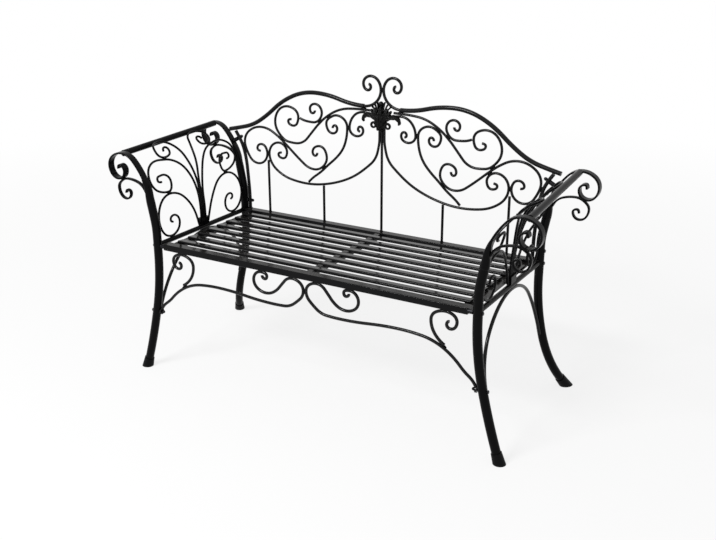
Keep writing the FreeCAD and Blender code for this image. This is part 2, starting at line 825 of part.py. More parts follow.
BRANCH_SCROLL = [
    (246, 734, 180),
    (*BRANCH_KISS, 133, -ROD_TOUCH),
    (212, 768, 90),
    (236, 793, 0),
    (255, 776, 270),
    (246, 763, 180),
    (237, 772, 90),
]
STILE_TURN = (503, 550, 86)
STILE_END = 57
UPRIGHT_SPOTS = (208.0, 417.5)
CENTRE_UPRIGHT_TOP = 795.0

BACK_SCROLLS = {
    "top_rail": (TOP_RAIL, "Sizes.top_rail_rod"),
    "finial": (FINIAL, "Sizes.finial_rod"),
    "upper_scroll": (UPPER_SCROLL, "Sizes.scroll_rod"),
    "back_lower_scroll": (BACK_LOWER_SCROLL, "Sizes.scroll_rod"),
    "drape": (DRAPE, "Sizes.scroll_rod"),
}
branches = []
rosette_scrolls = []
for side_name, side in SIDES.items():
    place = back_place(side)
    for scroll, (points, diameter) in BACK_SCROLLS.items():
        keep(rod("%s_%s" % (scroll, side_name), drawn(place, points), diameter))

    drape_low = station(place, *DRAPE_LOW, 0)
    heart_direction = station(place, *DRAPE_LOW, HEART_END)[1]
    heart = drawn(place, HEART_SCROLL) + [butted(drape_low, heart_direction, ROD_RADIUS, ROD_RADIUS)]
    keep(rod("heart_scroll_" + side_name, heart, "Sizes.scroll_rod"))

    branch_direction = station(place, *CURL_SIDE, BRANCH_START)[1]
    curl = station(place, *CURL_SIDE, 270)
    root = butted(curl, branch_direction * -1, ROD_RADIUS, ROD_RADIUS)[0]
    branch = [(root + branch_direction * GAP, branch_direction)] + drawn(place, BRANCH_SCROLL)
    branches.append(rod("branch_scroll_" + side_name, branch, "Sizes.scroll_rod"))
    small_scroll = drawn(place, ROSETTE_SCROLL)
    rosette_scrolls.append(rod("rosette_scroll_" + side_name, small_scroll, "Sizes.scroll_rod"))

    name = "stile_" + side_name
    foot = Vector(side * STILE_HALF, REAR_Y, BACK_BASE + STILE_RADIUS * TILT + GAP)
    low_bolt = Vector(side * STILE_HALF, REAR_Y, BACK_BOLT_HEIGHT)
    bolt_point, bolt_direction = BOLTS["back", "arm", side_name]
    arm_direction = station(arm_place(side, REAR_Y), *ARM_BOLT)[1]
    rail_rest = station(place, *RAIL_REST)
    end_direction = station(place, *RAIL_REST[:2], STILE_END)[1]
    stations = [
        (foot, UP_AXIS),
        (low_bolt, UP_AXIS),
        station(place, *STILE_TURN),
        station(place, *STILE_KISS, 72),
        (bolt_point + bolt_direction * size("stile_reach"), arm_direction),
        butted(rail_rest, end_direction, TOP_RADIUS, STILE_RADIUS),
    ]
    bar = rod(name + "_bar", stations, "Sizes.stile_rod")
    keep(cut(name, bar, holes(name, ("back", "rear", side_name), ("back", "arm", side_name))))
keep(group("branch_scrolls", branches))
keep(group("rosette_scrolls", rosette_scrolls))


def clear_top(across, wires):
    """Height at which an upright comes up under the rods above it."""
    top = BACK_BASE
    for _ in range(40):
        end = Part.LineSegment(Vector(across - UPRIGHT_RADIUS, REAR_Y, top),
                               Vector(across + UPRIGHT_RADIUS, REAR_Y, top)).toShape()
        top += min(end.distToShape(wire)[0] for wire in wires) - ROD_RADIUS - GAP
    return top


def upright(name, across, top):
    base = BACK_BASE + UPRIGHT_RADIUS * TILT + GAP
    bar = cylinder(name, Vector(across, REAR_Y, base), UP_AXIS, "Sizes.upright_rod", "%f" % (top - base))
    bar.Label = name
    return bar


keep(upright("centre_upright", 0.0, back_place(1)(0, CENTRE_UPRIGHT_TOP).z))
hanging = [bent_wire(drawn(back_place(1), points)) for points in (DRAPE, BACK_LOWER_SCROLL)]
side_uprights = []
for number, spot in enumerate(UPRIGHT_SPOTS, start=1):
    across = back_place(1)(spot, STILE_FOOT[1]).x
    top = clear_top(across, hanging)
    for side_name, side in SIDES.items():
        side_uprights.append(upright("upright_%s_%d" % (side_name, number), side * across, top))
keep(group("side_uprights", side_uprights))

# Rosette: a cast palmette with a flat back, set on the front of the crown rods.

ROSETTE_BACK = REAR_Y - max(FINIAL_RADIUS, ROD_RADIUS, UPRIGHT_RADIUS) - GAP
ROSETTE_HEART = 770.0
ROSETTE_DRAWN_HEIGHT = 100.0
LEAVES = [
    # place beside and above the heart, half length, half width, share of the depth, turn from upright
    (14, 33, 15, 3.5, 0.45, 26),
    (23, 27, 15, 3.5, 0.45, 43),
    (29, 19, 14, 3.5, 0.45, 60),
    (24, 11, 17, 7.0, 0.75, 74),
    (43, 13, 14, 6.0, 0.65, 98),
    (56, 3, 12, 5.0, 0.5, 152),
    (14, -14, 20, 8.0, 0.7, -24),
]
VOLUTE_SPOT = (26, -21)
VOLUTE_RADIUS = 8.0
VOLUTE_ROD = 3.2


def in_rosette(drawn_length):
    return "Sizes.rosette_height * %g" % (drawn_length / ROSETTE_DRAWN_HEIGHT)


def rosette_spot(beside, above):
    """A place in the casting's own frame, measured from its heart."""
    return Vector(beside, 0, above) * (size("rosette_height") / ROSETTE_DRAWN_HEIGHT)


def ellipsoid(name, beside, above, long_half, wide_half, deep_share, turn):
    blob = doc.addObject("Part::Ellipsoid", name)
    blob.setExpression("Radius1", in_rosette(long_half))
    blob.setExpression("Radius2", in_rosette(wide_half))
    blob.setExpression("Radius3", "Sizes.rosette_depth * %g" % deep_share)
    blob.Placement = Placement(rosette_spot(beside, above), Rotation(DEPTH_AXIS, turn))
    return blob


blobs = [
    ellipsoid("rosette_body", 0, 2, 31, 18, 1.0, 0),
    ellipsoid("rosette_knob", 0, 45, 8.5, 8.5, 0.55, 0),
    ellipsoid("rosette_stem", 0, 30, 16, 5, 0.6, 0),
    ellipsoid("rosette_drop", 0, -25, 11, 9, 0.6, 0),
]
for side_name, side in SIDES.items():
    for number, (beside, above, long_half, wide_half, deep_share, turn) in enumerate(LEAVES, start=1):
        blobs.append(ellipsoid("leaf_%s_%d" % (side_name, number), side * beside, above,
                               long_half, wide_half, deep_share, side * turn))
    volute = doc.addObject("Part::Torus", "volute_" + side_name)
    volute.setExpression("Radius1", in_rosette(VOLUTE_RADIUS))
    volute.setExpression("Radius2", in_rosette(VOLUTE_ROD))
    volute_centre = rosette_spot(side * VOLUTE_SPOT[0], VOLUTE_SPOT[1])
    volute.Placement = Placement(volute_centre, Rotation(UP_AXIS, DEPTH_AXIS))
    blobs.append(volute)
palmette = fuse("rosette_palmette", blobs)
rear_half = doc.addObject("Part::Box", "rosette_rear")
rear_half.setExpression("Length", "2 * Sizes.rosette_height")
rear_half.setExpression("Width", "2 * Sizes.rosette_depth")
rear_half.setExpression("Height", "2 * Sizes.rosette_height")
rear_half.Placement = Placement(rosette_spot(-ROSETTE_DRAWN_HEIGHT, -ROSETTE_DRAWN_HEIGHT), Rotation())
rosette = keep(cut("rosette", palmette, [rear_half]))
rosette_heart = back_place(1)(0, ROSETTE_HEART)
rosette_heart.y = ROSETTE_BACK
rosette.Placement = Placement(rosette_heart, Rotation())

# Apron: two long scrolled stretchers under the front rail, bolted to the front legs through an eye.

APRON_DRAWN_HALF = 526.5
APRON_DRAWN_TOP = 411.0
APRON_DRAWN_BOLT = 203.0
APRON_RADIUS = size("apron_rod") / 2
APRON_CLEAR = APRON_RADIUS + GAP
APRON_TOP = seat_top(FRONT_Y) - size("seat_rail_height") / math.cos(math.radians(size("seat_tilt")))
APRON_ROOT_HEADING = 118
APRON_BRANCH_ROOT = (425, 301, 150)
STRETCHER = [
    (476, 259, 131),
    APRON_BRANCH_ROOT,
    (300, 326, 180),
    (107, 315, 180),
    (38, 329, 142),
    (0, 376, 90, -APRON_RADIUS - GAP / 2),
    (40, APRON_DRAWN_TOP, 0, -APRON_CLEAR),
    (85, 370, -52),
    (132, 344, 0),
    (172, 378, 90),
    (145, APRON_DRAWN_TOP, 180, APRON_CLEAR),
    (126, 396, 270),
    (133, 387, 0),
    (142, 395, 90),
]
APRON_BRANCH = [
    (*APRON_BRANCH_ROOT, -size("apron_rod") - GAP),
    (389, 375, 90),
    (430, APRON_DRAWN_TOP, 0, -APRON_CLEAR),
    (463, 381, 270),
    (445, 359, 180),
    (434, 370, 90),
    (441, 379, 0),
]


def apron_place(side, half):
    def place(across, height):
        stretch = (APRON_TOP - size("apron_bolt_height")) / (APRON_DRAWN_TOP - APRON_DRAWN_BOLT)
        risen = APRON_TOP - (APRON_DRAWN_TOP - height) * stretch
        return Vector(side * across * half / APRON_DRAWN_HALF, FRONT_Y, risen)
    return place


for side_name, side in SIDES.items():
    name = "apron_stretcher_" + side_name
    key = ("apron", "front", side_name)
    leg_point, inward = BOLTS[key]
    eye_seat = leg_seat(key, size("apron_eye"))
    place = apron_place(side, abs(leg_point.x) - eye_seat)
    eye = cylinder(name + "_eye", leg_point + inward * eye_seat, inward,
                   "Sizes.apron_eye", "Sizes.apron_eye_thickness")
    above_nut = (size("nut_diameter") + APRON_RADIUS) / 2 + 2 * GAP
    root = leg_point + inward * (eye_seat + APRON_RADIUS) + UP_AXIS * above_nut
    root_direction = station(place, *STRETCHER[0][:2], APRON_ROOT_HEADING)[1]
    bar = rod(name + "_bar", [(root, root_direction)] + drawn(place, STRETCHER), "Sizes.apron_rod")
    welded = fuse(name + "_welded", [bar, eye])
    keep(cut(name, welded, holes(name, key)))
    keep(rod("apron_branch_" + side_name, drawn(place, APRON_BRANCH), "Sizes.apron_rod"))

# Seat: hollow slats on two end bars and a notched centre bar, between two rectangular tubes.

SEAT = Placement(Vector(0, MID_Y, size("seat_height")), Rotation(BENCH_AXIS, -size("seat_tilt")))
FRONT_FACE = -size("leg_plane_gap") / 2 - size("front_rail_lead")
REAR_FACE = size("leg_plane_gap") / 2 + size("rear_rail_lag")
SLATS_FRONT = FRONT_FACE + size("seat_rail_width")
SLATS_REAR = REAR_FACE - size("seat_rail_width")
SLATS_MIDDLE = (SLATS_FRONT + SLATS_REAR) / 2
SLAT_COUNT = int(size("slat_count"))
SLAT_PITCH = (SLATS_REAR - SLATS_FRONT + size("slat_width")) / (SLAT_COUNT + 1)
BAR_TOP = -size("slat_thickness") - GAP
SLAT_ZONE = ("Sizes.leg_plane_gap + Sizes.front_rail_lead + Sizes.rear_rail_lag"
             " - 2 * Sizes.seat_rail_width - 2 * Sizes.weld_gap")
FRONT_RAIL_HALF = size("waist_half") - LEG_RADIUS - size("front_rail_gap")
FRONT_RAIL_LENGTH = "2 * (Sizes.waist_half - Sizes.leg_diameter / 2 - Sizes.front_rail_gap)"
SLAT_LENGTH = FRONT_RAIL_LENGTH + " - 2 * Sizes.slat_inset"
BAR_DEPTH = "Sizes.end_bar_height + Sizes.slat_thickness + Sizes.weld_gap - Sizes.centre_bar_sink"


def in_seat(across, depth, height):
    return SEAT.multiply(Placement(Vector(across, depth, height), Rotation()))


def cross_sketch(body, name):
    """A sketch across the bench in the body's own frame."""
    sketch = body.newObject("Sketcher::SketchObject", name)
    plane = [feature for feature in body.Origin.OriginFeatures if feature.Role == "YZ_Plane"][0]
    sketch.AttachmentSupport = (plane, [""])
    sketch.MapMode = "FlatFace"
    return sketch


def rectangle(sketch, width, height, across=0.0, low=None):
    """A rectangle about the sketch's upright axis, or moved across; it stands on low or is centred."""
    corners = [Vector(-1, -1, 0), Vector(1, -1, 0), Vector(1, 1, 0), Vector(-1, 1, 0)]
    for start, end in zip(corners, corners[1:] + corners[:1]):
        sketch.addGeometry(Part.LineSegment(start + Vector(across, 0, 0), end + Vector(across, 0, 0)))
    for line in range(4):
        sketch.addConstraint(Sketcher.Constraint("Coincident", line, 2, (line + 1) % 4, 1))
    for line in (0, 2):
        sketch.addConstraint(Sketcher.Constraint("Horizontal", line))
    for line in (1, 3):
        sketch.addConstraint(Sketcher.Constraint("Vertical", line))
    wide = sketch.addConstraint(Sketcher.Constraint("DistanceX", 0, 1, 0, 2, 2.0))
    high = sketch.addConstraint(Sketcher.Constraint("DistanceY", 1, 1, 1, 2, 2.0))
    left = sketch.addConstraint(Sketcher.Constraint("DistanceX", -1, 1, 0, 1, across - 1.0))
    base = sketch.addConstraint(Sketcher.Constraint("DistanceY", -1, 1, 0, 1, -1.0))
    for constraint, name, expression in (
            (wide, "wide", width),
            (high, "high", height),
            (left, "left", "%f - (%s) / 2" % (across, width)),
            (base, "base", "-(%s) / 2" % height if low is None else low)):
        sketch.renameConstraint(constraint, name)
        sketch.setExpression("Constraints." + name, expression)


def extrude(body, kind, name, sketch, length):
    """A pad or a pocket that reaches equally to both sides of its sketch."""
    feature = body.newObject("PartDesign::" + kind, name)
    feature.Profile = sketch
    feature.SideType = "Symmetric"
    feature.setExpression("Length", length)
    doc.recompute()
    return feature


def new_body(name):
    body = doc.addObject("PartDesign::Body", name)
    body.Label = name
    return body


def seat_rail(name, length, middle_depth, bolts):
    body = new_body(name + "_tube")
    outside = cross_sketch(body, name + "_outside")
    rectangle(outside, "Sizes.seat_rail_width", "Sizes.seat_rail_height")
    pad = extrude(body, "Pad", name + "_pad", outside, length)
    long_edges = ["Edge%d" % number for number, edge in enumerate(pad.Shape.Edges, start=1)
                  if abs(edge.tangentAt(edge.FirstParameter).x) > 0.9]
    corners = body.newObject("PartDesign::Fillet", name + "_corners")
    corners.Base = (pad, long_edges)
    corners.setExpression("Radius", "Sizes.seat_rail_corner")
    doc.recompute()
    inside = cross_sketch(body, name + "_inside")
    rectangle(inside, "Sizes.seat_rail_width - 2 * Sizes.seat_rail_wall",
              "Sizes.seat_rail_height - 2 * Sizes.seat_rail_wall")
    hollow = extrude(body, "Pocket", name + "_hollow", inside, "%s - 2 * Sizes.seat_rail_plug" % length)
    body.Tip = hollow
    body.Placement = in_seat(0, middle_depth, -RAIL_MIDDLE)
    return keep(cut(name, body, holes(name, *bolts)))


RAIL_HALF_WIDTH = size("seat_rail_width") / 2
seat_rail("front_rail", FRONT_RAIL_LENGTH, FRONT_FACE + RAIL_HALF_WIDTH,
          [("seat", "front", side_name) for side_name in SIDES])
seat_rail("rear_rail", "2 * (Sizes.waist_half - Sizes.leg_diameter / 2 - Sizes.weld_gap)",
          REAR_FACE - RAIL_HALF_WIDTH, [("seat", "rear", side_name) for side_name in SIDES])

slats = []
for number in range(SLAT_COUNT):
    name = "slat_%d" % (number + 1)
    body = new_body(name)
    outside = cross_sketch(body, name + "_outside")
    slot_outline(outside, "slat", "Sizes.slat_width", "Sizes.slat_thickness")
    extrude(body, "Pad", name + "_pad", outside, SLAT_LENGTH)
    inside = cross_sketch(body, name + "_inside")
    slot_outline(inside, "hollow", "Sizes.slat_width - 2 * Sizes.slat_wall",
                 "Sizes.slat_thickness - 2 * Sizes.slat_wall")
    body.Tip = extrude(body, "Pocket", name + "_hollow", inside, SLAT_LENGTH + " - 4 * Sizes.slat_wall")
    depth = SLATS_FRONT - size("slat_width") / 2 + SLAT_PITCH * (number + 1)
    body.Placement = in_seat(0, depth, -size("slat_thickness") / 2)
    slats.append(body)
keep(group("seat_slats", slats))

for side_name, side in SIDES.items():
    bar = doc.addObject("Part::Box", "end_bar_" + side_name)
    bar.Label = "end_bar_" + side_name
    bar.setExpression("Length", "Sizes.end_bar_width")
    bar.setExpression("Width", SLAT_ZONE)
    bar.setExpression("Height", "Sizes.end_bar_height")
    middle = side * (FRONT_RAIL_HALF - size("end_bar_width") / 2)
    low = BAR_TOP - size("end_bar_height")
    bar.Placement = in_seat(middle - size("end_bar_width") / 2, SLATS_FRONT + GAP, low)
    keep(bar)

centre_bar = new_body("centre_bar")
blank = cross_sketch(centre_bar, "centre_bar_outline")
rectangle(blank, SLAT_ZONE, BAR_DEPTH, low="0")
extrude(centre_bar, "Pad", "centre_bar_pad", blank, "Sizes.centre_bar_width")
notch = cross_sketch(centre_bar, "centre_bar_notch")
first_slat = SLAT_PITCH * (1 - SLAT_COUNT) / 2
rectangle(notch, "Sizes.slat_width + 2 * Sizes.weld_gap", "2 * Sizes.slat_thickness",
          across=first_slat, low="Sizes.end_bar_height")
pocket = extrude(centre_bar, "Pocket", "centre_bar_first_notch", notch, "2 * Sizes.centre_bar_width")
row = centre_bar.newObject("PartDesign::LinearPattern", "centre_bar_notches")
row.Originals = [pocket]
row.Direction = (notch, ["H_Axis"])
row.setExpression("Length", "(Sizes.slat_count - 1) * %f" % SLAT_PITCH)
row.setExpression("Occurrences", "Sizes.slat_count")
centre_bar.Tip = row
centre_bar.Placement = in_seat(0, SLATS_MIDDLE, BAR_TOP - size("end_bar_height"))
keep(centre_bar)

# Fasteners: bolts with a low head outside, spacers between the pieces, and domed cap nuts inside.

SHANK_TO_SOLE = size("nut_height") - GAP


def bolt(name, key, head_seat, reach):
    """A bolt on one of the bolt lines; its head sits at head_seat outside and its end at reach inside."""
    point, inward = BOLTS[key]
    seat = point - inward * head_seat
    shank = cylinder(name + "_shank", seat, inward, "Sizes.bolt_diameter", "%f" % (head_seat + reach))
    head = doc.addObject("Part::Cone", name + "_head")
    head.setExpression("Radius1", "Sizes.bolt_head_diameter / 2")
    head.setExpression("Radius2", "Sizes.bolt_head_diameter / 3")
    head.setExpression("Height", "Sizes.bolt_head_height")
    head.Placement = Placement(seat, Rotation(UP_AXIS, inward * -1))
    return fuse(name, [shank, head])


def cap_nut(name, key, seat_reach):
    point, inward = BOLTS[key]
    seat = point + inward * seat_reach
    turn = Rotation(UP_AXIS, inward)
    hexagon = doc.addObject("Part::Prism", name + "_hexagon")
    hexagon.Polygon = 6
    hexagon.setExpression("Circumradius", "Sizes.nut_diameter / 2")
    hexagon.setExpression("Height", "Sizes.nut_height")
    hexagon.Placement = Placement(seat, turn)
    dome = doc.addObject("Part::Sphere", name + "_dome")
    dome.setExpression("Radius", "Sizes.nut_diameter * 0.42")
    dome.Angle1 = 0
    dome.Placement = Placement(seat + inward * size("nut_height"), turn)
    bore = cylinder(name + "_bore", seat, inward, "Sizes.bolt_diameter + Sizes.bolt_play", "Sizes.nut_height")
    return cut(name, fuse(name + "_blank", [hexagon, dome]), [bore])


def spacer(name, key, start_reach, end_reach):
    point, inward = BOLTS[key]
    bush = cylinder(name + "_bush", point + inward * start_reach, inward,
                    "Sizes.spacer_diameter", "%f" % (end_reach - start_reach))
    return cut(name, bush, holes(name, key))


seat_bolts = []
back_bolts = []
apron_bolts = []
cap_nuts = []
spacers = []
HEAD_WIDTH = size("bolt_head_diameter")
SPACER_WIDTH = size("spacer_diameter")
for side_name in SIDES:
    key = ("seat", "front", side_name)
    head_seat = leg_seat(key, HEAD_WIDTH)
    rail_reach = abs(BOLTS[key][0].x) - FRONT_RAIL_HALF
    end_reach = rail_reach + size("seat_bolt_grip")
    seat_bolts.append(bolt("seat_bolt_front_" + side_name, key, head_seat, end_reach))
    spacers.append(spacer("seat_spacer_" + side_name, key, leg_seat(key, SPACER_WIDTH), rail_reach - GAP))
    key = ("seat", "rear", side_name)
    head_seat = leg_seat(key, HEAD_WIDTH)
    seat_bolts.append(bolt("seat_bolt_rear_" + side_name, key, head_seat, head_seat + size("seat_bolt_grip")))

    key = ("back", "rear", side_name)
    stile_near = abs(BOLTS[key][0].x) - STILE_HALF - STILE_RADIUS - GAP
    stile_far = stile_near + 2 * STILE_RADIUS + 2 * GAP
    head_seat = leg_seat(key, HEAD_WIDTH)
    back_bolts.append(bolt("back_bolt_low_" + side_name, key, head_seat, stile_far + SHANK_TO_SOLE))
    cap_nuts.append(cap_nut("back_nut_low_" + side_name, key, stile_far))
    spacers.append(spacer("stile_spacer_low_" + side_name, key, leg_seat(key, SPACER_WIDTH), stile_near))

    key = ("back", "arm", side_name)
    strap_seat = STRAP_HALF + GAP
    stile_far = size("stile_reach") + STILE_RADIUS + GAP
    back_bolts.append(bolt("back_bolt_high_" + side_name, key, strap_seat, stile_far + SHANK_TO_SOLE))
    cap_nuts.append(cap_nut("back_nut_high_" + side_name, key, stile_far))
    spacers.append(spacer("stile_spacer_high_" + side_name, key, strap_seat,
                          size("stile_reach") - STILE_RADIUS - GAP))

    key = ("apron", "front", side_name)
    eye_far = leg_seat(key, size("apron_eye")) + size("apron_eye_thickness") + GAP
    head_seat = leg_seat(key, HEAD_WIDTH)
    apron_bolts.append(bolt("apron_bolt_" + side_name, key, head_seat, eye_far + SHANK_TO_SOLE))
    cap_nuts.append(cap_nut("apron_nut_" + side_name, key, eye_far))
for name, pieces in (("seat_bolts", seat_bolts), ("back_bolts", back_bolts), ("apron_bolts", apron_bolts),
                     ("cap_nuts", cap_nuts), ("spacers", spacers)):
    keep(group(name, pieces))

# Each piece is checked and written to its own file.

doc.recompute()
for piece in doc.Objects:
    if "Invalid" in piece.State or "Error" in piece.State:
        raise RuntimeError("%s could not be made" % piece.Name)
os.makedirs("parts", exist_ok=True)
for piece in nodes:
    if piece.Shape.isNull() or not piece.Shape.isValid() or not piece.Shape.Solids:
        raise RuntimeError("%s has no valid solid" % piece.Label)
    piece.Shape.exportStep("parts/%s.step" % piece.Label)
print("%d pieces written" % len(nodes))
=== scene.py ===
import math
import bmesh
import bpy
from mathutils import Matrix, Vector


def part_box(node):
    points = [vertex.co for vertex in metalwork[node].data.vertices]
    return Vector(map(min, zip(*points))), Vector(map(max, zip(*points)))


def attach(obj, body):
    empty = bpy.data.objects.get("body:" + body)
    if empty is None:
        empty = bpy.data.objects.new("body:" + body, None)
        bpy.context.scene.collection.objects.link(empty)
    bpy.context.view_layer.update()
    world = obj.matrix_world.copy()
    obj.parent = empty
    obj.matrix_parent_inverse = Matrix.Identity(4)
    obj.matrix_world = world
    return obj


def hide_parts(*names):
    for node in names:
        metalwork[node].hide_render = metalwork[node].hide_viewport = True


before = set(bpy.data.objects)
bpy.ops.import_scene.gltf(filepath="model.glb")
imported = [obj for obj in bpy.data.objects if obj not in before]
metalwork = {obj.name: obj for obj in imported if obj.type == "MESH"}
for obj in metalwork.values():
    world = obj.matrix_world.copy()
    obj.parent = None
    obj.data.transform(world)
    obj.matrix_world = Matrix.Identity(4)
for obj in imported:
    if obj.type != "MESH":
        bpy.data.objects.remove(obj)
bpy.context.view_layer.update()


# Legs: four bent steel tubes that flare out to the floor, the rear ones also backwards. The top of each is
# forged to a blunt tip that carries two arm straps, and the side frame is powder coated in gloss black.

def linear(code):
    """A hex colour as the eye sees it, turned to the linear values that shaders use."""
    parts = [int(code[place:place + 2], 16) / 255 for place in (1, 3, 5)]
    return tuple(p / 12.92 if p <= 0.04045 else ((p + 0.055) / 1.055) ** 2.4 for p in parts) + (1.0,)


def add_node(tree, kind, inputs=None, **settings):
    """One node with its settings; an input is a value or the output that it is linked to."""
    made = tree.nodes.new(kind)
    for name, value in settings.items():
        setattr(made, name, value)
    sockets = {socket.identifier: socket for socket in made.inputs}
    for name, value in (inputs or {}).items():
        if isinstance(value, bpy.types.NodeSocket):
            tree.links.new(value, sockets[name])
        else:
            sockets[name].default_value = value
    return made


def set_coat(names, coat):
    for name in names:
        metalwork[name].data.materials.clear()
        metalwork[name].data.materials.append(coat)


def both_sides(*names):
    return [name + side for name in names for side in ("_left", "_right")]


# Gloss black polyester powder coat over steel: a deep black with a sharp sheen that a faint orange peel
# breaks, and a thin film of dust on what faces up. The peel is 2 mm in life and is drawn at 3 mm to show.
powder_coat = bpy.data.materials.new("gloss_black_powder_coat")
powder_coat.use_nodes = True
tree = powder_coat.node_tree
surface = tree.nodes["Principled BSDF"]
surface.inputs["Specular IOR Level"].default_value = 0.06
place = add_node(tree, "ShaderNodeTexCoord")
peel = add_node(tree, "ShaderNodeTexNoise", {
    "Vector": place.outputs["Object"], "Scale": 1 / 0.003, "Detail": 2.0,
})
relief = add_node(tree, "ShaderNodeBump", {
    "Height": peel.outputs["Fac"], "Strength": 0.12, "Distance": 0.0003,
})
cloud = add_node(tree, "ShaderNodeTexNoise", {
    "Vector": place.outputs["Object"], "Scale": 1 / 0.045, "Detail": 4.0,
})
tone = add_node(tree, "ShaderNodeMix", {
    "Factor_Float": cloud.outputs["Fac"], "A_Color": linear("#040405"), "B_Color": linear("#0c0c0d"),
}, data_type="RGBA")
facing = add_node(tree, "ShaderNodeSeparateXYZ", {"Vector": place.outputs["Normal"]})
level = add_node(tree, "ShaderNodeMapRange", {
    "Value": facing.outputs["Z"], "From Min": 0.75, "From Max": 1.0, "To Min": 0.0, "To Max": 0.03,
})
patch = add_node(tree, "ShaderNodeTexNoise", {
    "Vector": place.outputs["Object"], "Scale": 1 / 0.02, "Detail": 6.0,
})
dust = add_node(tree, "ShaderNodeMath", {
    "Value": level.outputs["Result"], "Value_001": patch.outputs["Fac"],
}, operation="MULTIPLY")
dusted = add_node(tree, "ShaderNodeMix", {
    "Factor_Float": dust.outputs["Value"], "A_Color": tone.outputs["Result"], "B_Color": linear("#6b6760"),
}, data_type="RGBA")
sheen = add_node(tree, "ShaderNodeMapRange", {
    "Value": cloud.outputs["Fac"], "From Min": 0.3, "From Max": 0.7, "To Min": 0.14, "To Max": 0.24,
})
tree.links.new(dusted.outputs["Result"], surface.inputs["Base Color"])
tree.links.new(sheen.outputs["Result"], surface.inputs["Roughness"])
tree.links.new(relief.outputs["Normal"], surface.inputs["Normal"])
set_coat(both_sides("front_leg", "rear_leg"), powder_coat)


# Foot caps: boots moulded in black polyethylene, pushed on the leg ends and worn a little where they meet
# the floor.

# Moulded black polyethylene: a soft dull sheen over a fine pebble, paler scuffs in the lowest 5 mm. The
# pebble is 0.4 mm in life and is drawn at 1.2 mm to show.
polyethylene = bpy.data.materials.new("moulded_black_polyethylene")
polyethylene.use_nodes = True
tree = polyethylene.node_tree
surface = tree.nodes["Principled BSDF"]
surface.inputs["Roughness"].default_value = 0.5
surface.inputs["Specular IOR Level"].default_value = 0.08
place = add_node(tree, "ShaderNodeTexCoord")
pebble = add_node(tree, "ShaderNodeTexVoronoi", {"Vector": place.outputs["Object"], "Scale": 1 / 0.0012})
relief = add_node(tree, "ShaderNodeBump", {
    "Height": pebble.outputs["Distance"], "Strength": 0.2, "Distance": 0.0002,
})
height = add_node(tree, "ShaderNodeSeparateXYZ", {"Vector": place.outputs["Object"]})
low = add_node(tree, "ShaderNodeMapRange", {
    "Value": height.outputs["Z"], "From Min": 0.0, "From Max": 0.005, "To Min": 0.7, "To Max": 0.0,
})
scratch = add_node(tree, "ShaderNodeTexNoise", {
    "Vector": place.outputs["Object"], "Scale": 1 / 0.004, "Detail": 5.0,
})
scuff = add_node(tree, "ShaderNodeMath", {
    "Value": low.outputs["Result"], "Value_001": scratch.outputs["Fac"],
}, operation="MULTIPLY")
tone = add_node(tree, "ShaderNodeMix", {
    "Factor_Float": scuff.outputs["Value"], "A_Color": linear("#070708"), "B_Color": linear("#2b2a29"),
}, data_type="RGBA")
tree.links.new(tone.outputs["Result"], surface.inputs["Base Color"])
tree.links.new(relief.outputs["Normal"], surface.inputs["Normal"])
set_coat(["foot_caps"], polyethylene)


# Arms: a wide and a narrow steel strap fork from the tip of each leg and are rolled to scrolls, with a round
# tube between the front and the rear strap to rest a hand on. They are welded to the legs, and the welds are
# built up and ground to a smooth taper from tube to strap.

set_coat(both_sides("front_arm_scroll", "rear_arm_scroll", "front_lower_scroll", "rear_lower_scroll",
                    "arm_rail"), powder_coat)

mm = 0.001
front_depth = -260.9
back_depth = 195.1


def smooth_rows(marks, count):
    """Rows of values on a smooth line through the marks."""
    ends = [marks[0]] + marks + [marks[-1]]
    rows = []
    for step in range(count):
        along = step / (count - 1) * (len(marks) - 1)
        span = min(int(along), len(marks) - 2)
        t = along - span
        four = ends[span:span + 4]
        rows.append([
            0.5 * (2 * b + (c - a) * t + (2 * a - 5 * b + 4 * c - d) * t ** 2
                   + (3 * b - a - 3 * c + d) * t ** 3)
            for a, b, c, d in zip(*four)])
    return rows


def close_shell(shape, rings):
    """Skins a row of rings and caps both ends."""
    count = len(rings[0])
    for first, second in zip(rings, rings[1:]):
        for place in range(count):
            following = (place + 1) % count
            shape.faces.new((first[place], first[following], second[following], second[place]))
    shape.faces.new(rings[0][::-1])
    shape.faces.new(rings[-1])


root_rows = 24
root_corners = 32
root_marks = [
    # place beside and above the middle of the floor, lean, half thickness, half width, and how square it is
    (532.0, 544.5, 11, 13.15, 13.15, 2.0),
    (534.3, 556.3, 11, 12.6, 13.1, 2.1),
    (536.6, 570.0, 11.5, 10.8, 12.9, 2.4),
    (538.3, 587.7, 14.6, 8.6, 12.7, 3.0),
    (543.0, 604.6, 19, 6.6, 12.5, 3.5),
    (546.4, 614.4, 22, 5.2, 12.4, 4.0),
    (550.6, 624.1, 25, 3.6, 12.2, 5.0),
]
shape = bmesh.new()
for side in (1, -1):
    for depth in (front_depth, back_depth):
        rings = []
        for beside, above, lean, thick, wide, square in smooth_rows(root_marks, root_rows):
            ring = []
            for step in range(root_corners):
                turn = 2 * math.pi * step / root_corners
                out = thick * math.copysign(abs(math.cos(turn)) ** (2 / square), math.cos(turn))
                deep = wide * math.copysign(abs(math.sin(turn)) ** (2 / square), math.sin(turn))
                ring.append(shape.verts.new((
                    side * (beside + out * math.cos(math.radians(lean))) * mm, (depth + deep) * mm,
                    (above - out * math.sin(math.radians(lean))) * mm)))
            rings.append(ring)
        close_shell(shape, rings)
bmesh.ops.recalc_face_normals(shape, faces=shape.faces)
for face in shape.faces:
    face.smooth = len(face.verts) == 4
mesh = bpy.data.meshes.new("arm_roots")
shape.to_mesh(mesh)
shape.free()
mesh.materials.append(powder_coat)
arm_roots = bpy.data.objects.new("arm_roots", mesh)
bpy.context.scene.collection.objects.link(arm_roots)
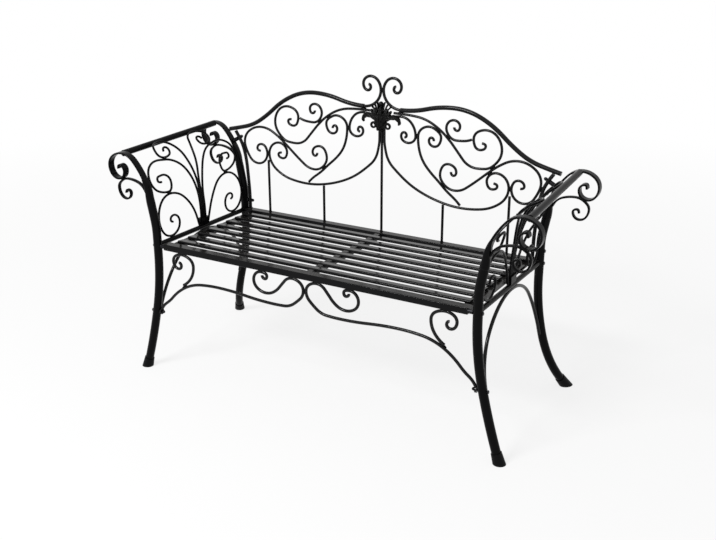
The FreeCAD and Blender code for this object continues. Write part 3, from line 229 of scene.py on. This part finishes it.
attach(arm_roots, "root")


# Side frames: a round bar between the legs at seat height, an arch of bent rod under it, and a fan of scrolls
# above it that a collar of flat steel ties together at the foot.

set_coat(both_sides("side_rail", "fan_low", "fan_middle", "fan_top") + ["fan_collars"], powder_coat)

# The same powder coat on long bends of rod: the smooth rod leaves it glossier than on the rest of the side
# frames, so that a thin line of light runs along it.
rod_coat = powder_coat.copy()
rod_coat.name = "gloss_black_coat_on_bent_rod"
rod_coat.node_tree.nodes["Principled BSDF"].inputs["Specular IOR Level"].default_value = 0.2
set_coat(both_sides("leg_arch"), rod_coat)


# Back panel: scrolls of 8 mm rod bent cold and welded side to side, under a crest of heavier rod that ends in
# two curls. It stands on the rear seat rail and is bolted to the rear legs through its stiles.

set_coat(both_sides("top_rail", "finial", "stile", "upper_scroll", "back_lower_scroll", "drape",
                    "heart_scroll"), rod_coat)
set_coat(["branch_scrolls", "rosette_scrolls", "centre_upright", "side_uprights"], rod_coat)


# Rosette: a palmette sand cast in iron, with a knob on top, three rays and a drooping leaf to each side and
# two volutes below. Its flat back is welded to the front of the crown rods, and the coat goes over it.

back_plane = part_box("rosette")[1][1]
heart_height = 0.77004
tuck = 2
leaf_rows = 40
leaf_steps = 6
least_half = 0.4
least_crown = 0.6
lobe_depth = 0.22
vein_depth = 0.3
vein_width = 0.16
rib_height = 0.12
rib_sweep = 0.1
rim_height = 0.12


def add_leaf(shape, side, marks, lobes, groove):
    """A crowned leaf; a mark is its place beside and above the heart, half width and crown, in mm."""
    rows = smooth_rows(marks, leaf_rows)
    rings = []
    for number, (beside, above, half, crown) in enumerate(rows):
        before = rows[max(number - 1, 0)]
        after = rows[min(number + 1, len(rows) - 1)]
        run = Vector((after[0] - before[0], after[1] - before[1])).normalized()
        share = number / (len(rows) - 1)
        wave = 0.5 + 0.5 * math.cos(2 * math.pi * lobes * share)
        half = max(half, least_half) * (1 - lobe_depth * wave * (lobes > 0))
        ring = []
        for step in range(-leaf_steps, leaf_steps + 1):
            s = step / leaf_steps
            vein = groove * math.exp(-(s / vein_width) ** 2)
            fold = math.cos(2 * math.pi * lobes * (share - rib_sweep * abs(s)))
            ribs = rib_height * fold * abs(s) * (lobes > 0)
            dome = math.sqrt(max(1 - s * s, 0.0)) * (1 - vein - ribs)
            rise = max(crown, least_crown) * (dome + rim_height)
            spot = Vector((beside - run.y * s * half, above + run.x * s * half))
            ring.append(shape.verts.new((
                side * spot.x * mm, back_plane - rise * mm, heart_height + spot.y * mm)))
        for s in (1, -1):
            spot = Vector((beside - run.y * s * half, above + run.x * s * half))
            ring.append(shape.verts.new((
                side * spot.x * mm, back_plane + tuck * mm, heart_height + spot.y * mm)))
        rings.append(ring)
    close_shell(shape, rings)


volute_steps = 56
volute_corners = 10
volute_taper = 0.35
volute_crown = 1.3
volute_lift = 1.4


def add_volute(shape, side, centre, start_radius, end_radius, start_turn, turns, thick):
    """A round bar rolled to a spiral that lies just before the back plane, so that its eye stays open."""
    rings = []
    for step in range(volute_steps):
        share = step / (volute_steps - 1)
        turn = math.radians(start_turn) - 2 * math.pi * turns * share
        radius = start_radius + (end_radius - start_radius) * share
        half = thick * (1 - volute_taper * share)
        ring = []
        for corner in range(volute_corners):
            around = 2 * math.pi * corner / volute_corners
            reach = radius + half * math.cos(around)
            deep = half * (volute_lift + volute_crown * math.sin(around))
            ring.append(shape.verts.new((
                side * (centre[0] + reach * math.cos(turn)) * mm, back_plane - deep * mm,
                heart_height + (centre[1] + reach * math.sin(turn)) * mm)))
        rings.append(ring)
    close_shell(shape, rings)


shape = bmesh.new()
knob_radius = 7.5
knob_above = 48.5
knob_forward = 2
knob_place = Matrix.LocRotScale(
    Vector((0, back_plane - knob_forward * mm, heart_height + knob_above * mm)), None,
    Vector((knob_radius, knob_radius, knob_radius)) * mm)
bmesh.ops.create_uvsphere(shape, u_segments=24, v_segments=14, radius=1.0, matrix=knob_place)
add_leaf(shape, 1, [(0, -38, 3, 5), (0, -28, 8, 11), (0, -10, 12, 15), (0, 10, 12, 16), (0, 26, 9, 14),
                    (0, 40, 4, 8)], 5, vein_depth)
for side in (1, -1):
    for ray in ([(7, 26, 1.8, 7), (9.5, 40, 2.0, 7), (12, 52, 2.6, 7), (12.8, 55, 1.2, 4)],
                [(11, 23, 1.8, 7), (16, 36, 2.0, 7), (21.5, 46.5, 2.6, 7), (23, 49, 1.2, 4)],
                [(15, 20, 1.8, 7), (23, 31, 2.0, 7), (30.5, 39.5, 2.6, 7), (32.5, 41.5, 1.2, 4)]):
        add_leaf(shape, side, ray, 0, 0.0)
    add_leaf(shape, side, [(3, -24, 6, 10), (8, -6, 9.5, 14), (14, 12, 9.5, 14), (19, 26, 7, 11),
                           (22, 35, 2.5, 6)], 4, vein_depth)
    add_leaf(shape, side, [(6, -12, 7, 11), (15, 2, 9, 13), (24, 15, 8, 12), (31, 25, 5, 8),
                           (34, 30, 2, 5)], 3, vein_depth)
    add_leaf(shape, side, [(8, 0, 8, 12), (22, 6, 9, 12), (38, 10.5, 8.5, 11), (50, 10, 8, 10),
                           (58.5, 4, 7, 8), (61.5, -4, 5.5, 7), (58, -11, 3, 4)], 4, vein_depth)
    add_leaf(shape, side, [(3, -4, 6, 11), (7, -16, 7, 12), (11, -27, 5, 9), (12, -35, 2, 4)], 3, vein_depth)
    add_volute(shape, side, centre=(24, -17.5), start_radius=8.3, end_radius=6.6, start_turn=200, turns=1.2,
               thick=4.4)
bmesh.ops.recalc_face_normals(shape, faces=shape.faces)
mould = bpy.data.meshes.new("rosette_mould")
shape.to_mesh(mould)
shape.free()
cast = bpy.data.objects.new("rosette_mould", mould)
bpy.context.scene.collection.objects.link(cast)
join = cast.modifiers.new("join", "REMESH")
join.mode = "VOXEL"
join.voxel_size = 0.8 * mm
soften = cast.modifiers.new("soften", "SMOOTH")
soften.factor = 0.5
soften.iterations = 4
joined = bpy.data.meshes.new_from_object(cast.evaluated_get(bpy.context.evaluated_depsgraph_get()))
bpy.data.objects.remove(cast)
bpy.data.meshes.remove(mould)
shape = bmesh.new()
shape.from_mesh(joined)
bmesh.ops.bisect_plane(shape, geom=shape.verts[:] + shape.edges[:] + shape.faces[:], dist=1e-7,
                       plane_co=(0, back_plane, 0), plane_no=(0, 1, 0), clear_outer=True)
bmesh.ops.holes_fill(shape, edges=[edge for edge in shape.edges if edge.is_boundary])
bmesh.ops.recalc_face_normals(shape, faces=shape.faces)
for face in shape.faces:
    face.smooth = True
shape.to_mesh(joined)
shape.free()
rosette = bpy.data.objects.new("rosette_casting", joined)
bpy.context.scene.collection.objects.link(rosette)

# Sand-cast iron under gloss black powder coat: the grain of the sand shows through as soft pits and dulls the
# sheen in patches. The grain is 0.5 mm in life and is drawn at 1.5 mm to show.
cast_iron = bpy.data.materials.new("coated_sand_cast_iron")
cast_iron.use_nodes = True
tree = cast_iron.node_tree
surface = tree.nodes["Principled BSDF"]
surface.inputs["Specular IOR Level"].default_value = 0.12
place = add_node(tree, "ShaderNodeTexCoord")
grain = add_node(tree, "ShaderNodeTexNoise", {
    "Vector": place.outputs["Object"], "Scale": 1 / 0.0015, "Detail": 3.0,
})
relief = add_node(tree, "ShaderNodeBump", {
    "Height": grain.outputs["Fac"], "Strength": 0.3, "Distance": 0.0004,
})
cloud = add_node(tree, "ShaderNodeTexNoise", {
    "Vector": place.outputs["Object"], "Scale": 1 / 0.012, "Detail": 3.0,
})
tone = add_node(tree, "ShaderNodeMix", {
    "Factor_Float": cloud.outputs["Fac"], "A_Color": linear("#050506"), "B_Color": linear("#121211"),
}, data_type="RGBA")
sheen = add_node(tree, "ShaderNodeMapRange", {
    "Value": grain.outputs["Fac"], "From Min": 0.3, "From Max": 0.7, "To Min": 0.22, "To Max": 0.36,
})
tree.links.new(tone.outputs["Result"], surface.inputs["Base Color"])
tree.links.new(sheen.outputs["Result"], surface.inputs["Roughness"])
tree.links.new(relief.outputs["Normal"], surface.inputs["Normal"])
joined.materials.clear()
joined.materials.append(cast_iron)
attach(rosette, "root")
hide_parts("rosette")


# Apron: two stretchers of 9 mm rod, scrolled under the front rail and bolted to the front legs through an
# eye, each with a small branch. They are coated as the back is.

set_coat(both_sides("apron_stretcher", "apron_branch"), rod_coat)


# Seat: eight flat hollow slats on two end bars and a notched centre bar, between two rectangular tubes that
# are bolted to the legs. It is one welded grid, coated as a whole.

# Gloss black powder coat on drawn tube: a smooth coat that mirrors what stands behind the seat, with faint
# long streaks from the drawing of the tube, 3 mm wide as in life, and dust along the tops.
seat_coat = bpy.data.materials.new("gloss_black_coat_on_drawn_tube")
seat_coat.use_nodes = True
tree = seat_coat.node_tree
surface = tree.nodes["Principled BSDF"]
surface.inputs["Specular IOR Level"].default_value = 0.1
place = add_node(tree, "ShaderNodeTexCoord")
lengthwise = add_node(tree, "ShaderNodeMapping", {
    "Vector": place.outputs["Object"], "Scale": (1 / 0.25, 1 / 0.003, 1 / 0.003),
})
streak = add_node(tree, "ShaderNodeTexNoise", {
    "Vector": lengthwise.outputs["Vector"], "Scale": 1.0, "Detail": 3.0,
})
relief = add_node(tree, "ShaderNodeBump", {
    "Height": streak.outputs["Fac"], "Strength": 0.05, "Distance": 0.0002,
})
tone = add_node(tree, "ShaderNodeMix", {
    "Factor_Float": streak.outputs["Fac"], "A_Color": linear("#050506"), "B_Color": linear("#101011"),
}, data_type="RGBA")
facing = add_node(tree, "ShaderNodeSeparateXYZ", {"Vector": place.outputs["Normal"]})
level = add_node(tree, "ShaderNodeMapRange", {
    "Value": facing.outputs["Z"], "From Min": 0.85, "From Max": 1.0, "To Min": 0.0, "To Max": 0.1,
})
patch = add_node(tree, "ShaderNodeTexNoise", {
    "Vector": place.outputs["Object"], "Scale": 1 / 0.03, "Detail": 6.0,
})
dust = add_node(tree, "ShaderNodeMath", {
    "Value": level.outputs["Result"], "Value_001": patch.outputs["Fac"],
}, operation="MULTIPLY")
dusted = add_node(tree, "ShaderNodeMix", {
    "Factor_Float": dust.outputs["Value"], "A_Color": tone.outputs["Result"], "B_Color": linear("#7b7770"),
}, data_type="RGBA")
sheen = add_node(tree, "ShaderNodeMapRange", {
    "Value": patch.outputs["Fac"], "From Min": 0.3, "From Max": 0.7, "To Min": 0.1, "To Max": 0.2,
})
tree.links.new(dusted.outputs["Result"], surface.inputs["Base Color"])
tree.links.new(sheen.outputs["Result"], surface.inputs["Roughness"])
tree.links.new(relief.outputs["Normal"], surface.inputs["Normal"])
set_coat(both_sides("end_bar") + ["front_rail", "rear_rail", "seat_slats", "centre_bar"], seat_coat)


# Fasteners: low-headed steel bolts, plain spacers and domed cap nuts that hold the seat, the back and the
# apron to the legs.

# Black zinc-plated steel: a dark grey metal with a satin gleam that differs a little from one turned face to
# the next. The plating's blotches are 2 mm wide, as in life.
black_zinc = bpy.data.materials.new("black_zinc_plated_steel")
black_zinc.use_nodes = True
tree = black_zinc.node_tree
surface = tree.nodes["Principled BSDF"]
surface.inputs["Metallic"].default_value = 1.0
place = add_node(tree, "ShaderNodeTexCoord")
blotch = add_node(tree, "ShaderNodeTexNoise", {
    "Vector": place.outputs["Object"], "Scale": 1 / 0.002, "Detail": 3.0,
})
tone = add_node(tree, "ShaderNodeMix", {
    "Factor_Float": blotch.outputs["Fac"], "A_Color": linear("#1c1c1e"), "B_Color": linear("#2f2f31"),
}, data_type="RGBA")
sheen = add_node(tree, "ShaderNodeMapRange", {
    "Value": blotch.outputs["Fac"], "From Min": 0.3, "From Max": 0.7, "To Min": 0.28, "To Max": 0.42,
})
tree.links.new(tone.outputs["Result"], surface.inputs["Base Color"])
tree.links.new(sheen.outputs["Result"], surface.inputs["Roughness"])
set_coat(["seat_bolts", "back_bolts", "apron_bolts", "cap_nuts", "spacers"], black_zinc)


# Welds: short beads laid in the grooves where two rods touch, on both faces, and rings round the ends that
# stand square on another piece. They are ground lightly and lie under the coat.

back_face = 3.0
apron_face = 3.2
fan_face = 2.6
seams = []
for beside, above, turn in (
        # places of the back panel's kisses, in mm, and the turn of the groove
        (417.5, 612.0, 90), (352.6, 649.1, 40), (206.5, 593.5, -45), (510.6, 623.8, 72), (361.0, 666.5, 38),
        (219.2, 741.2, -47), (117.0, 731.0, 90), (187.3, 757.5, -36), (62.0, 797.4, 0), (0.0, 858.0, 90),
        (4.2, 722.0, 90)):
    for side in (1, -1):
        for face in (back_face, -back_face):
            groove = (side * math.cos(math.radians(turn)), 0, math.sin(math.radians(turn)))
            seams.append(((side * beside, back_depth + face, above), groove))
for beside, above, turn in (
        # places of the apron's kisses
        (427.9, 305.0, -30), (0.0, 376.0, 90), (40.1, 410.5, 0), (145.2, 410.5, 0), (430.6, 410.5, 0)):
    for side in (1, -1):
        for face in (apron_face, -apron_face):
            groove = (side * math.cos(math.radians(turn)), 0, math.sin(math.radians(turn)))
            seams.append(((side * beside, front_depth + face, above), groove))
for beside, depth, above, turn, lean in (
        # places of the side frames' kisses, the turn of the groove from level, and the lean of the fan
        (532.2, -175.9, 561.9, 0, 10), (531.2, 110.1, 556.3, 0, 10), (569.5, -142.9, 655.8, -12, 36),
        (567.9, 77.1, 653.6, 12, 36), (521.8, -247.8, 490.9, 90, 0), (520.8, 182.0, 479.2, 90, 0),
        (520.0, -190.9, 427.7, -2, 0), (520.0, 125.1, 416.6, -2, 0), (546.3, -247.8, 192.0, 97, 0),
        (520.0, -25.6, 406.7, -2, 0)):
    for side in (1, -1):
        for face in (fan_face, -fan_face):
            groove = (0, math.cos(math.radians(turn)), math.sin(math.radians(turn)))
            out, down = face * math.cos(math.radians(lean)), face * math.sin(math.radians(lean))
            seams.append(((side * (beside + out), depth, above - down), groove))
for beside, above in ((635.4, 613.0), (629.6, 616.4)):
    # both sides of the kiss of the two straps of an arm
    for side in (1, -1):
        for depth in (front_depth, back_depth):
            seams.append(((side * beside, depth, above), (0, 1, 0)))
slat_count = 8
slat_end = 479.6
slat_start_depth, slat_start_above = -203.1, 419.6
slat_pitch, slat_drop = 48.97, 1.71
seat_fall = -0.035
for number in range(slat_count):
    # ends of the slats on the end bars
    depth, above = slat_start_depth + slat_pitch * number, slat_start_above - slat_drop * number
    for side in (1, -1):
        seams.append(((side * slat_end, depth, above), (0, 1, seat_fall)))
rings = []
for beside, above, reach in (
        # feet of the uprights and stiles on the rear rail
        (0.0, 414.6, 4.2), (208.0, 414.6, 4.2), (417.5, 414.6, 4.2), (497.5, 414.6, 5.8)):
    for side in (1, -1):
        rings.append(((side * beside, back_depth, above), (0, 0, 1), reach))
for depth, above, beside, reach in (
        # ends of the side rails
        (-246.6, 420.9, 520.0, 7.6), (180.8, 406.5, 520.0, 7.6)):
    for side in (1, -1):
        rings.append(((side * beside, depth, above), (0, 1, 0), reach))


def spots_mesh(name, spots):
    """A point for each bead, which holds the direction of its groove."""
    mesh = bpy.data.meshes.new(name)
    mesh.from_pydata([[value * mm for value in spot[0]] for spot in spots], [], [])
    lay = mesh.attributes.new("lay", "FLOAT_VECTOR", "POINT")
    for number, spot in enumerate(spots):
        lay.data[number].vector = spot[1]
    return mesh


bead_tree = bpy.data.node_groups.new("weld_seams", "GeometryNodeTree")
bead_tree.interface.new_socket("Spots", in_out="INPUT", socket_type="NodeSocketGeometry")
for name in ("Length", "Width", "Ripple"):
    bead_tree.interface.new_socket(name, in_out="INPUT", socket_type="NodeSocketFloat")
bead_tree.interface.new_socket("Beads", in_out="OUTPUT", socket_type="NodeSocketGeometry")
given = add_node(bead_tree, "NodeGroupInput")
ball = add_node(bead_tree, "GeometryNodeMeshUVSphere", {"Segments": 8, "Rings": 9, "Radius": 1.0})
spot = add_node(bead_tree, "GeometryNodeInputPosition")
axes = add_node(bead_tree, "ShaderNodeSeparateXYZ", {"Vector": spot.outputs["Position"]})
bead_ripples = 14.0
phase = add_node(bead_tree, "ShaderNodeMath", {
    "Value": axes.outputs["Z"], "Value_001": bead_ripples,
}, operation="MULTIPLY")
wave = add_node(bead_tree, "ShaderNodeMath", {"Value": phase.outputs["Value"]}, operation="SINE")
swell = add_node(bead_tree, "ShaderNodeMath", {
    "Value": wave.outputs["Value"], "Value_001": given.outputs["Ripple"], "Value_002": 1.0,
}, operation="MULTIPLY_ADD")
girth = add_node(bead_tree, "ShaderNodeCombineXYZ", {
    "X": swell.outputs["Value"], "Y": swell.outputs["Value"], "Z": 1.0,
})
rippled = add_node(bead_tree, "ShaderNodeVectorMath", {
    "Vector": spot.outputs["Position"], "Vector_001": girth.outputs["Vector"],
}, operation="MULTIPLY")
drawn = add_node(bead_tree, "GeometryNodeSetPosition", {
    "Geometry": ball.outputs["Mesh"], "Position": rippled.outputs["Vector"],
})
half_width = add_node(bead_tree, "ShaderNodeMath", {
    "Value": given.outputs["Width"], "Value_001": 0.5,
}, operation="MULTIPLY")
half_length = add_node(bead_tree, "ShaderNodeMath", {
    "Value": given.outputs["Length"], "Value_001": 0.5,
}, operation="MULTIPLY")
extent = add_node(bead_tree, "ShaderNodeCombineXYZ", {
    "X": half_width.outputs["Value"], "Y": half_width.outputs["Value"], "Z": half_length.outputs["Value"],
})
bead = add_node(bead_tree, "GeometryNodeTransform", {
    "Geometry": drawn.outputs["Geometry"], "Scale": extent.outputs["Vector"],
})
lay = add_node(bead_tree, "GeometryNodeInputNamedAttribute", {"Name": "lay"}, data_type="FLOAT_VECTOR")
turned = add_node(bead_tree, "FunctionNodeAlignRotationToVector", {
    "Vector": lay.outputs["Attribute"],
}, axis="Z")
hand = add_node(bead_tree, "FunctionNodeRandomValue", {
    "Min_001": 0.85, "Max_001": 1.1, "Seed": 7,
}, data_type="FLOAT")
laid = add_node(bead_tree, "GeometryNodeInstanceOnPoints", {
    "Points": given.outputs["Spots"], "Instance": bead.outputs["Geometry"],
    "Rotation": turned.outputs["Rotation"], "Scale": hand.outputs[1],
})
solid = add_node(bead_tree, "GeometryNodeRealizeInstances", {"Geometry": laid.outputs["Instances"]})
smooth = add_node(bead_tree, "GeometryNodeSetShadeSmooth", {"Geometry": solid.outputs["Geometry"]})
coated = add_node(bead_tree, "GeometryNodeSetMaterial", {
    "Geometry": smooth.outputs["Geometry"], "Material": powder_coat,
})
result = add_node(bead_tree, "NodeGroupOutput")
bead_tree.links.new(coated.outputs["Geometry"], result.inputs["Beads"])


def grow(name, mesh, tree, sizes):
    """Runs a tree on a mesh of spots and keeps what it makes as a plain mesh."""
    spots = bpy.data.objects.new(name + "_spots", mesh)
    bpy.context.scene.collection.objects.link(spots)
    maker = spots.modifiers.new("maker", "NODES")
    maker.node_group = tree
    for item in tree.interface.items_tree:
        if item.in_out == "INPUT" and item.name in sizes:
            maker[item.identifier] = sizes[item.name]
    made = bpy.data.meshes.new_from_object(spots.evaluated_get(bpy.context.evaluated_depsgraph_get()))
    spots.modifiers.remove(maker)
    bpy.data.objects.remove(spots)
    bpy.data.meshes.remove(mesh)
    piece = bpy.data.objects.new(name, made)
    bpy.context.scene.collection.objects.link(piece)
    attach(piece, "root")


grow("weld_seams", spots_mesh("weld_seam_spots", seams), bead_tree, {
    "Length": 16 * mm, "Width": 5 * mm, "Ripple": 0.1,
})

ring_tree = bpy.data.node_groups.new("weld_rings", "GeometryNodeTree")
ring_tree.interface.new_socket("Spots", in_out="INPUT", socket_type="NodeSocketGeometry")
for name in ("Thickness", "Ripple"):
    ring_tree.interface.new_socket(name, in_out="INPUT", socket_type="NodeSocketFloat")
ring_tree.interface.new_socket("Rings", in_out="OUTPUT", socket_type="NodeSocketGeometry")
given = add_node(ring_tree, "NodeGroupInput")
loop = add_node(ring_tree, "GeometryNodeCurvePrimitiveCircle", {"Resolution": 28, "Radius": 1.0})
half = add_node(ring_tree, "ShaderNodeMath", {
    "Value": given.outputs["Thickness"], "Value_001": 0.5,
}, operation="MULTIPLY")
section = add_node(ring_tree, "GeometryNodeCurvePrimitiveCircle", {
    "Resolution": 7, "Radius": half.outputs["Value"],
})
hoop = add_node(ring_tree, "GeometryNodeCurveToMesh", {
    "Curve": loop.outputs["Curve"], "Profile Curve": section.outputs["Curve"],
})
spot = add_node(ring_tree, "GeometryNodeInputPosition")
axes = add_node(ring_tree, "ShaderNodeSeparateXYZ", {"Vector": spot.outputs["Position"]})
around = add_node(ring_tree, "ShaderNodeMath", {
    "Value": axes.outputs["Y"], "Value_001": axes.outputs["X"],
}, operation="ARCTAN2")
ring_ripples = 9.0
phase = add_node(ring_tree, "ShaderNodeMath", {
    "Value": around.outputs["Value"], "Value_001": ring_ripples,
}, operation="MULTIPLY")
wave = add_node(ring_tree, "ShaderNodeMath", {"Value": phase.outputs["Value"]}, operation="SINE")
swell = add_node(ring_tree, "ShaderNodeMath", {
    "Value": wave.outputs["Value"], "Value_001": given.outputs["Ripple"], "Value_002": 1.0,
}, operation="MULTIPLY_ADD")
rippled = add_node(ring_tree, "ShaderNodeVectorMath", {
    "Vector": spot.outputs["Position"], "Scale": swell.outputs["Value"],
}, operation="SCALE")
drawn = add_node(ring_tree, "GeometryNodeSetPosition", {
    "Geometry": hoop.outputs["Mesh"], "Position": rippled.outputs["Vector"],
})
lay = add_node(ring_tree, "GeometryNodeInputNamedAttribute", {"Name": "lay"}, data_type="FLOAT_VECTOR")
turned = add_node(ring_tree, "FunctionNodeAlignRotationToVector", {
    "Vector": lay.outputs["Attribute"],
}, axis="Z")
reach = add_node(ring_tree, "GeometryNodeInputNamedAttribute", {"Name": "reach"}, data_type="FLOAT")
laid = add_node(ring_tree, "GeometryNodeInstanceOnPoints", {
    "Points": given.outputs["Spots"], "Instance": drawn.outputs["Geometry"],
    "Rotation": turned.outputs["Rotation"], "Scale": reach.outputs["Attribute"],
})
solid = add_node(ring_tree, "GeometryNodeRealizeInstances", {"Geometry": laid.outputs["Instances"]})
smooth = add_node(ring_tree, "GeometryNodeSetShadeSmooth", {"Geometry": solid.outputs["Geometry"]})
coated = add_node(ring_tree, "GeometryNodeSetMaterial", {
    "Geometry": smooth.outputs["Geometry"], "Material": powder_coat,
})
result = add_node(ring_tree, "NodeGroupOutput")
ring_tree.links.new(coated.outputs["Geometry"], result.inputs["Rings"])
ring_spots = spots_mesh("weld_ring_spots", rings)
reach_values = ring_spots.attributes.new("reach", "FLOAT", "POINT")
for number, spot in enumerate(rings):
    reach_values.data[number].value = spot[2] * mm
grow("weld_rings", ring_spots, ring_tree, {"Thickness": 0.6, "Ripple": 0.02})


# Studio: a pale seamless floor under a soft white sky, with one long softbox in front that draws thin
# highlights on the rods. Floor and sky show the camera and the gloss a plain white.

def white_share(tree):
    """The rays that see the studio's white: the camera's own, and those that gloss or glass turns."""
    path = add_node(tree, "ShaderNodeLightPath")
    looked = add_node(tree, "ShaderNodeMath", {
        "Value": path.outputs["Is Camera Ray"], "Value_001": path.outputs["Is Glossy Ray"],
    }, operation="MAXIMUM")
    return add_node(tree, "ShaderNodeMath", {
        "Value": looked.outputs["Value"], "Value_001": path.outputs["Is Transmission Ray"],
    }, operation="MAXIMUM")


# Matt white floor paint, rolled on in strokes 0.3 m long: an even pale surface. What it shows the camera and
# the gloss is mostly its own white, wholly so far from the bench, and the rest takes the shadow.
floor_paint = bpy.data.materials.new("matt_white_floor_paint")
floor_paint.use_nodes = True
tree = floor_paint.node_tree
surface = tree.nodes["Principled BSDF"]
surface.inputs["Roughness"].default_value = 0.9
surface.inputs["Specular IOR Level"].default_value = 0.0
place = add_node(tree, "ShaderNodeTexCoord")
roller = add_node(tree, "ShaderNodeTexNoise", {
    "Vector": place.outputs["Object"], "Scale": 1 / 0.3, "Detail": 3.0,
})
tone = add_node(tree, "ShaderNodeMix", {
    "Factor_Float": roller.outputs["Fac"], "A_Color": linear("#fafafa"), "B_Color": linear("#fcfcfc"),
}, data_type="RGBA")
tree.links.new(tone.outputs["Result"], surface.inputs["Base Color"])
seen = white_share(tree)
away = add_node(tree, "ShaderNodeVectorMath", {"Vector": place.outputs["Object"]}, operation="LENGTH")
clear = add_node(tree, "ShaderNodeMapRange", {
    "Value": away.outputs["Value"], "From Min": 0.8, "From Max": 3.5, "To Min": 0.8, "To Max": 1.0,
})
share = add_node(tree, "ShaderNodeMath", {
    "Value": seen.outputs["Value"], "Value_001": clear.outputs["Result"],
}, operation="MULTIPLY")
white = add_node(tree, "ShaderNodeEmission", {"Color": linear("#ffffff"), "Strength": 1.0})
shown = add_node(tree, "ShaderNodeMixShader", {
    "Fac": share.outputs["Value"], "Shader": surface.outputs["BSDF"], "Shader_001": white.outputs["Emission"],
})
tree.links.new(shown.outputs["Shader"], tree.nodes["Material Output"].inputs["Surface"])
mesh = bpy.data.meshes.new("floor")
floor_reach = 30
mesh.from_pydata([(-floor_reach, -floor_reach, 0), (floor_reach, -floor_reach, 0),
                  (floor_reach, floor_reach, 0), (-floor_reach, floor_reach, 0)], [], [(0, 1, 2, 3)])
mesh.materials.append(floor_paint)
floor = bpy.data.objects.new("floor", mesh)
bpy.context.scene.collection.objects.link(floor)

world = bpy.data.worlds.new("white_studio")
world.use_nodes = True
bpy.context.scene.world = world
tree = world.node_tree
seen = white_share(tree)
strength = add_node(tree, "ShaderNodeMapRange", {
    "Value": seen.outputs["Value"], "From Min": 0.0, "From Max": 1.0, "To Min": 0.42, "To Max": 1.0,
})
tree.links.new(strength.outputs["Result"], tree.nodes["Background"].inputs["Strength"])
tree.nodes["Background"].inputs["Color"].default_value = linear("#ffffff")

lamp_data = bpy.data.lights.new("front_softbox", "AREA")
lamp_data.shape = "RECTANGLE"
lamp_data.size = 1.5
lamp_data.size_y = 0.56
lamp_data.energy = 125.0
lamp = bpy.data.objects.new("front_softbox", lamp_data)
lamp.location = (-0.9, -2.93, 3.17)
lamp_target = Vector((0, 0, 0.6))
lamp.rotation_euler = (lamp_target - lamp.location).to_track_quat("-Z", "Y").to_euler()
bpy.context.scene.collection.objects.link(lamp)


# Camera: at the photograph's angle, above the bench and to the right of its middle. Its values were fitted to
# the bars in the photograph, in pixels, metres and degrees, and the picture then moved up half a pixel.

image_width, image_height = 716, 540
sensor_width = 36
focal_pixels = 1023.889498
centre_column, centre_row = 344.376602, 274.043621
aim = Vector((0.014662, -0.063822, 0.361727))
distance = 3.017145
turn, rise, roll = math.radians(30.054887), math.radians(21.58387), math.radians(-0.424604)
right = Vector((math.cos(turn), math.sin(turn), 0))
back = Vector((math.sin(turn) * math.cos(rise), -math.cos(turn) * math.cos(rise), math.sin(rise)))
up = back.cross(right)
across = math.cos(roll) * right + math.sin(roll) * up
upward = -math.sin(roll) * right + math.cos(roll) * up
camera_data = bpy.data.cameras.new("photo_camera")
camera_data.sensor_width = sensor_width
camera_data.lens = focal_pixels / image_width * sensor_width
camera_data.shift_x = (image_width / 2 - centre_column) / image_width
camera_data.shift_y = (centre_row - image_height / 2) / image_width
camera = bpy.data.objects.new("photo_camera", camera_data)
camera.matrix_world = Matrix((across, upward, back)).transposed().to_4x4()
camera.matrix_world.translation = aim + distance * back
bpy.context.scene.collection.objects.link(camera)
bpy.context.scene.camera = camera
bpy.context.scene.view_settings.view_transform = "Standard"
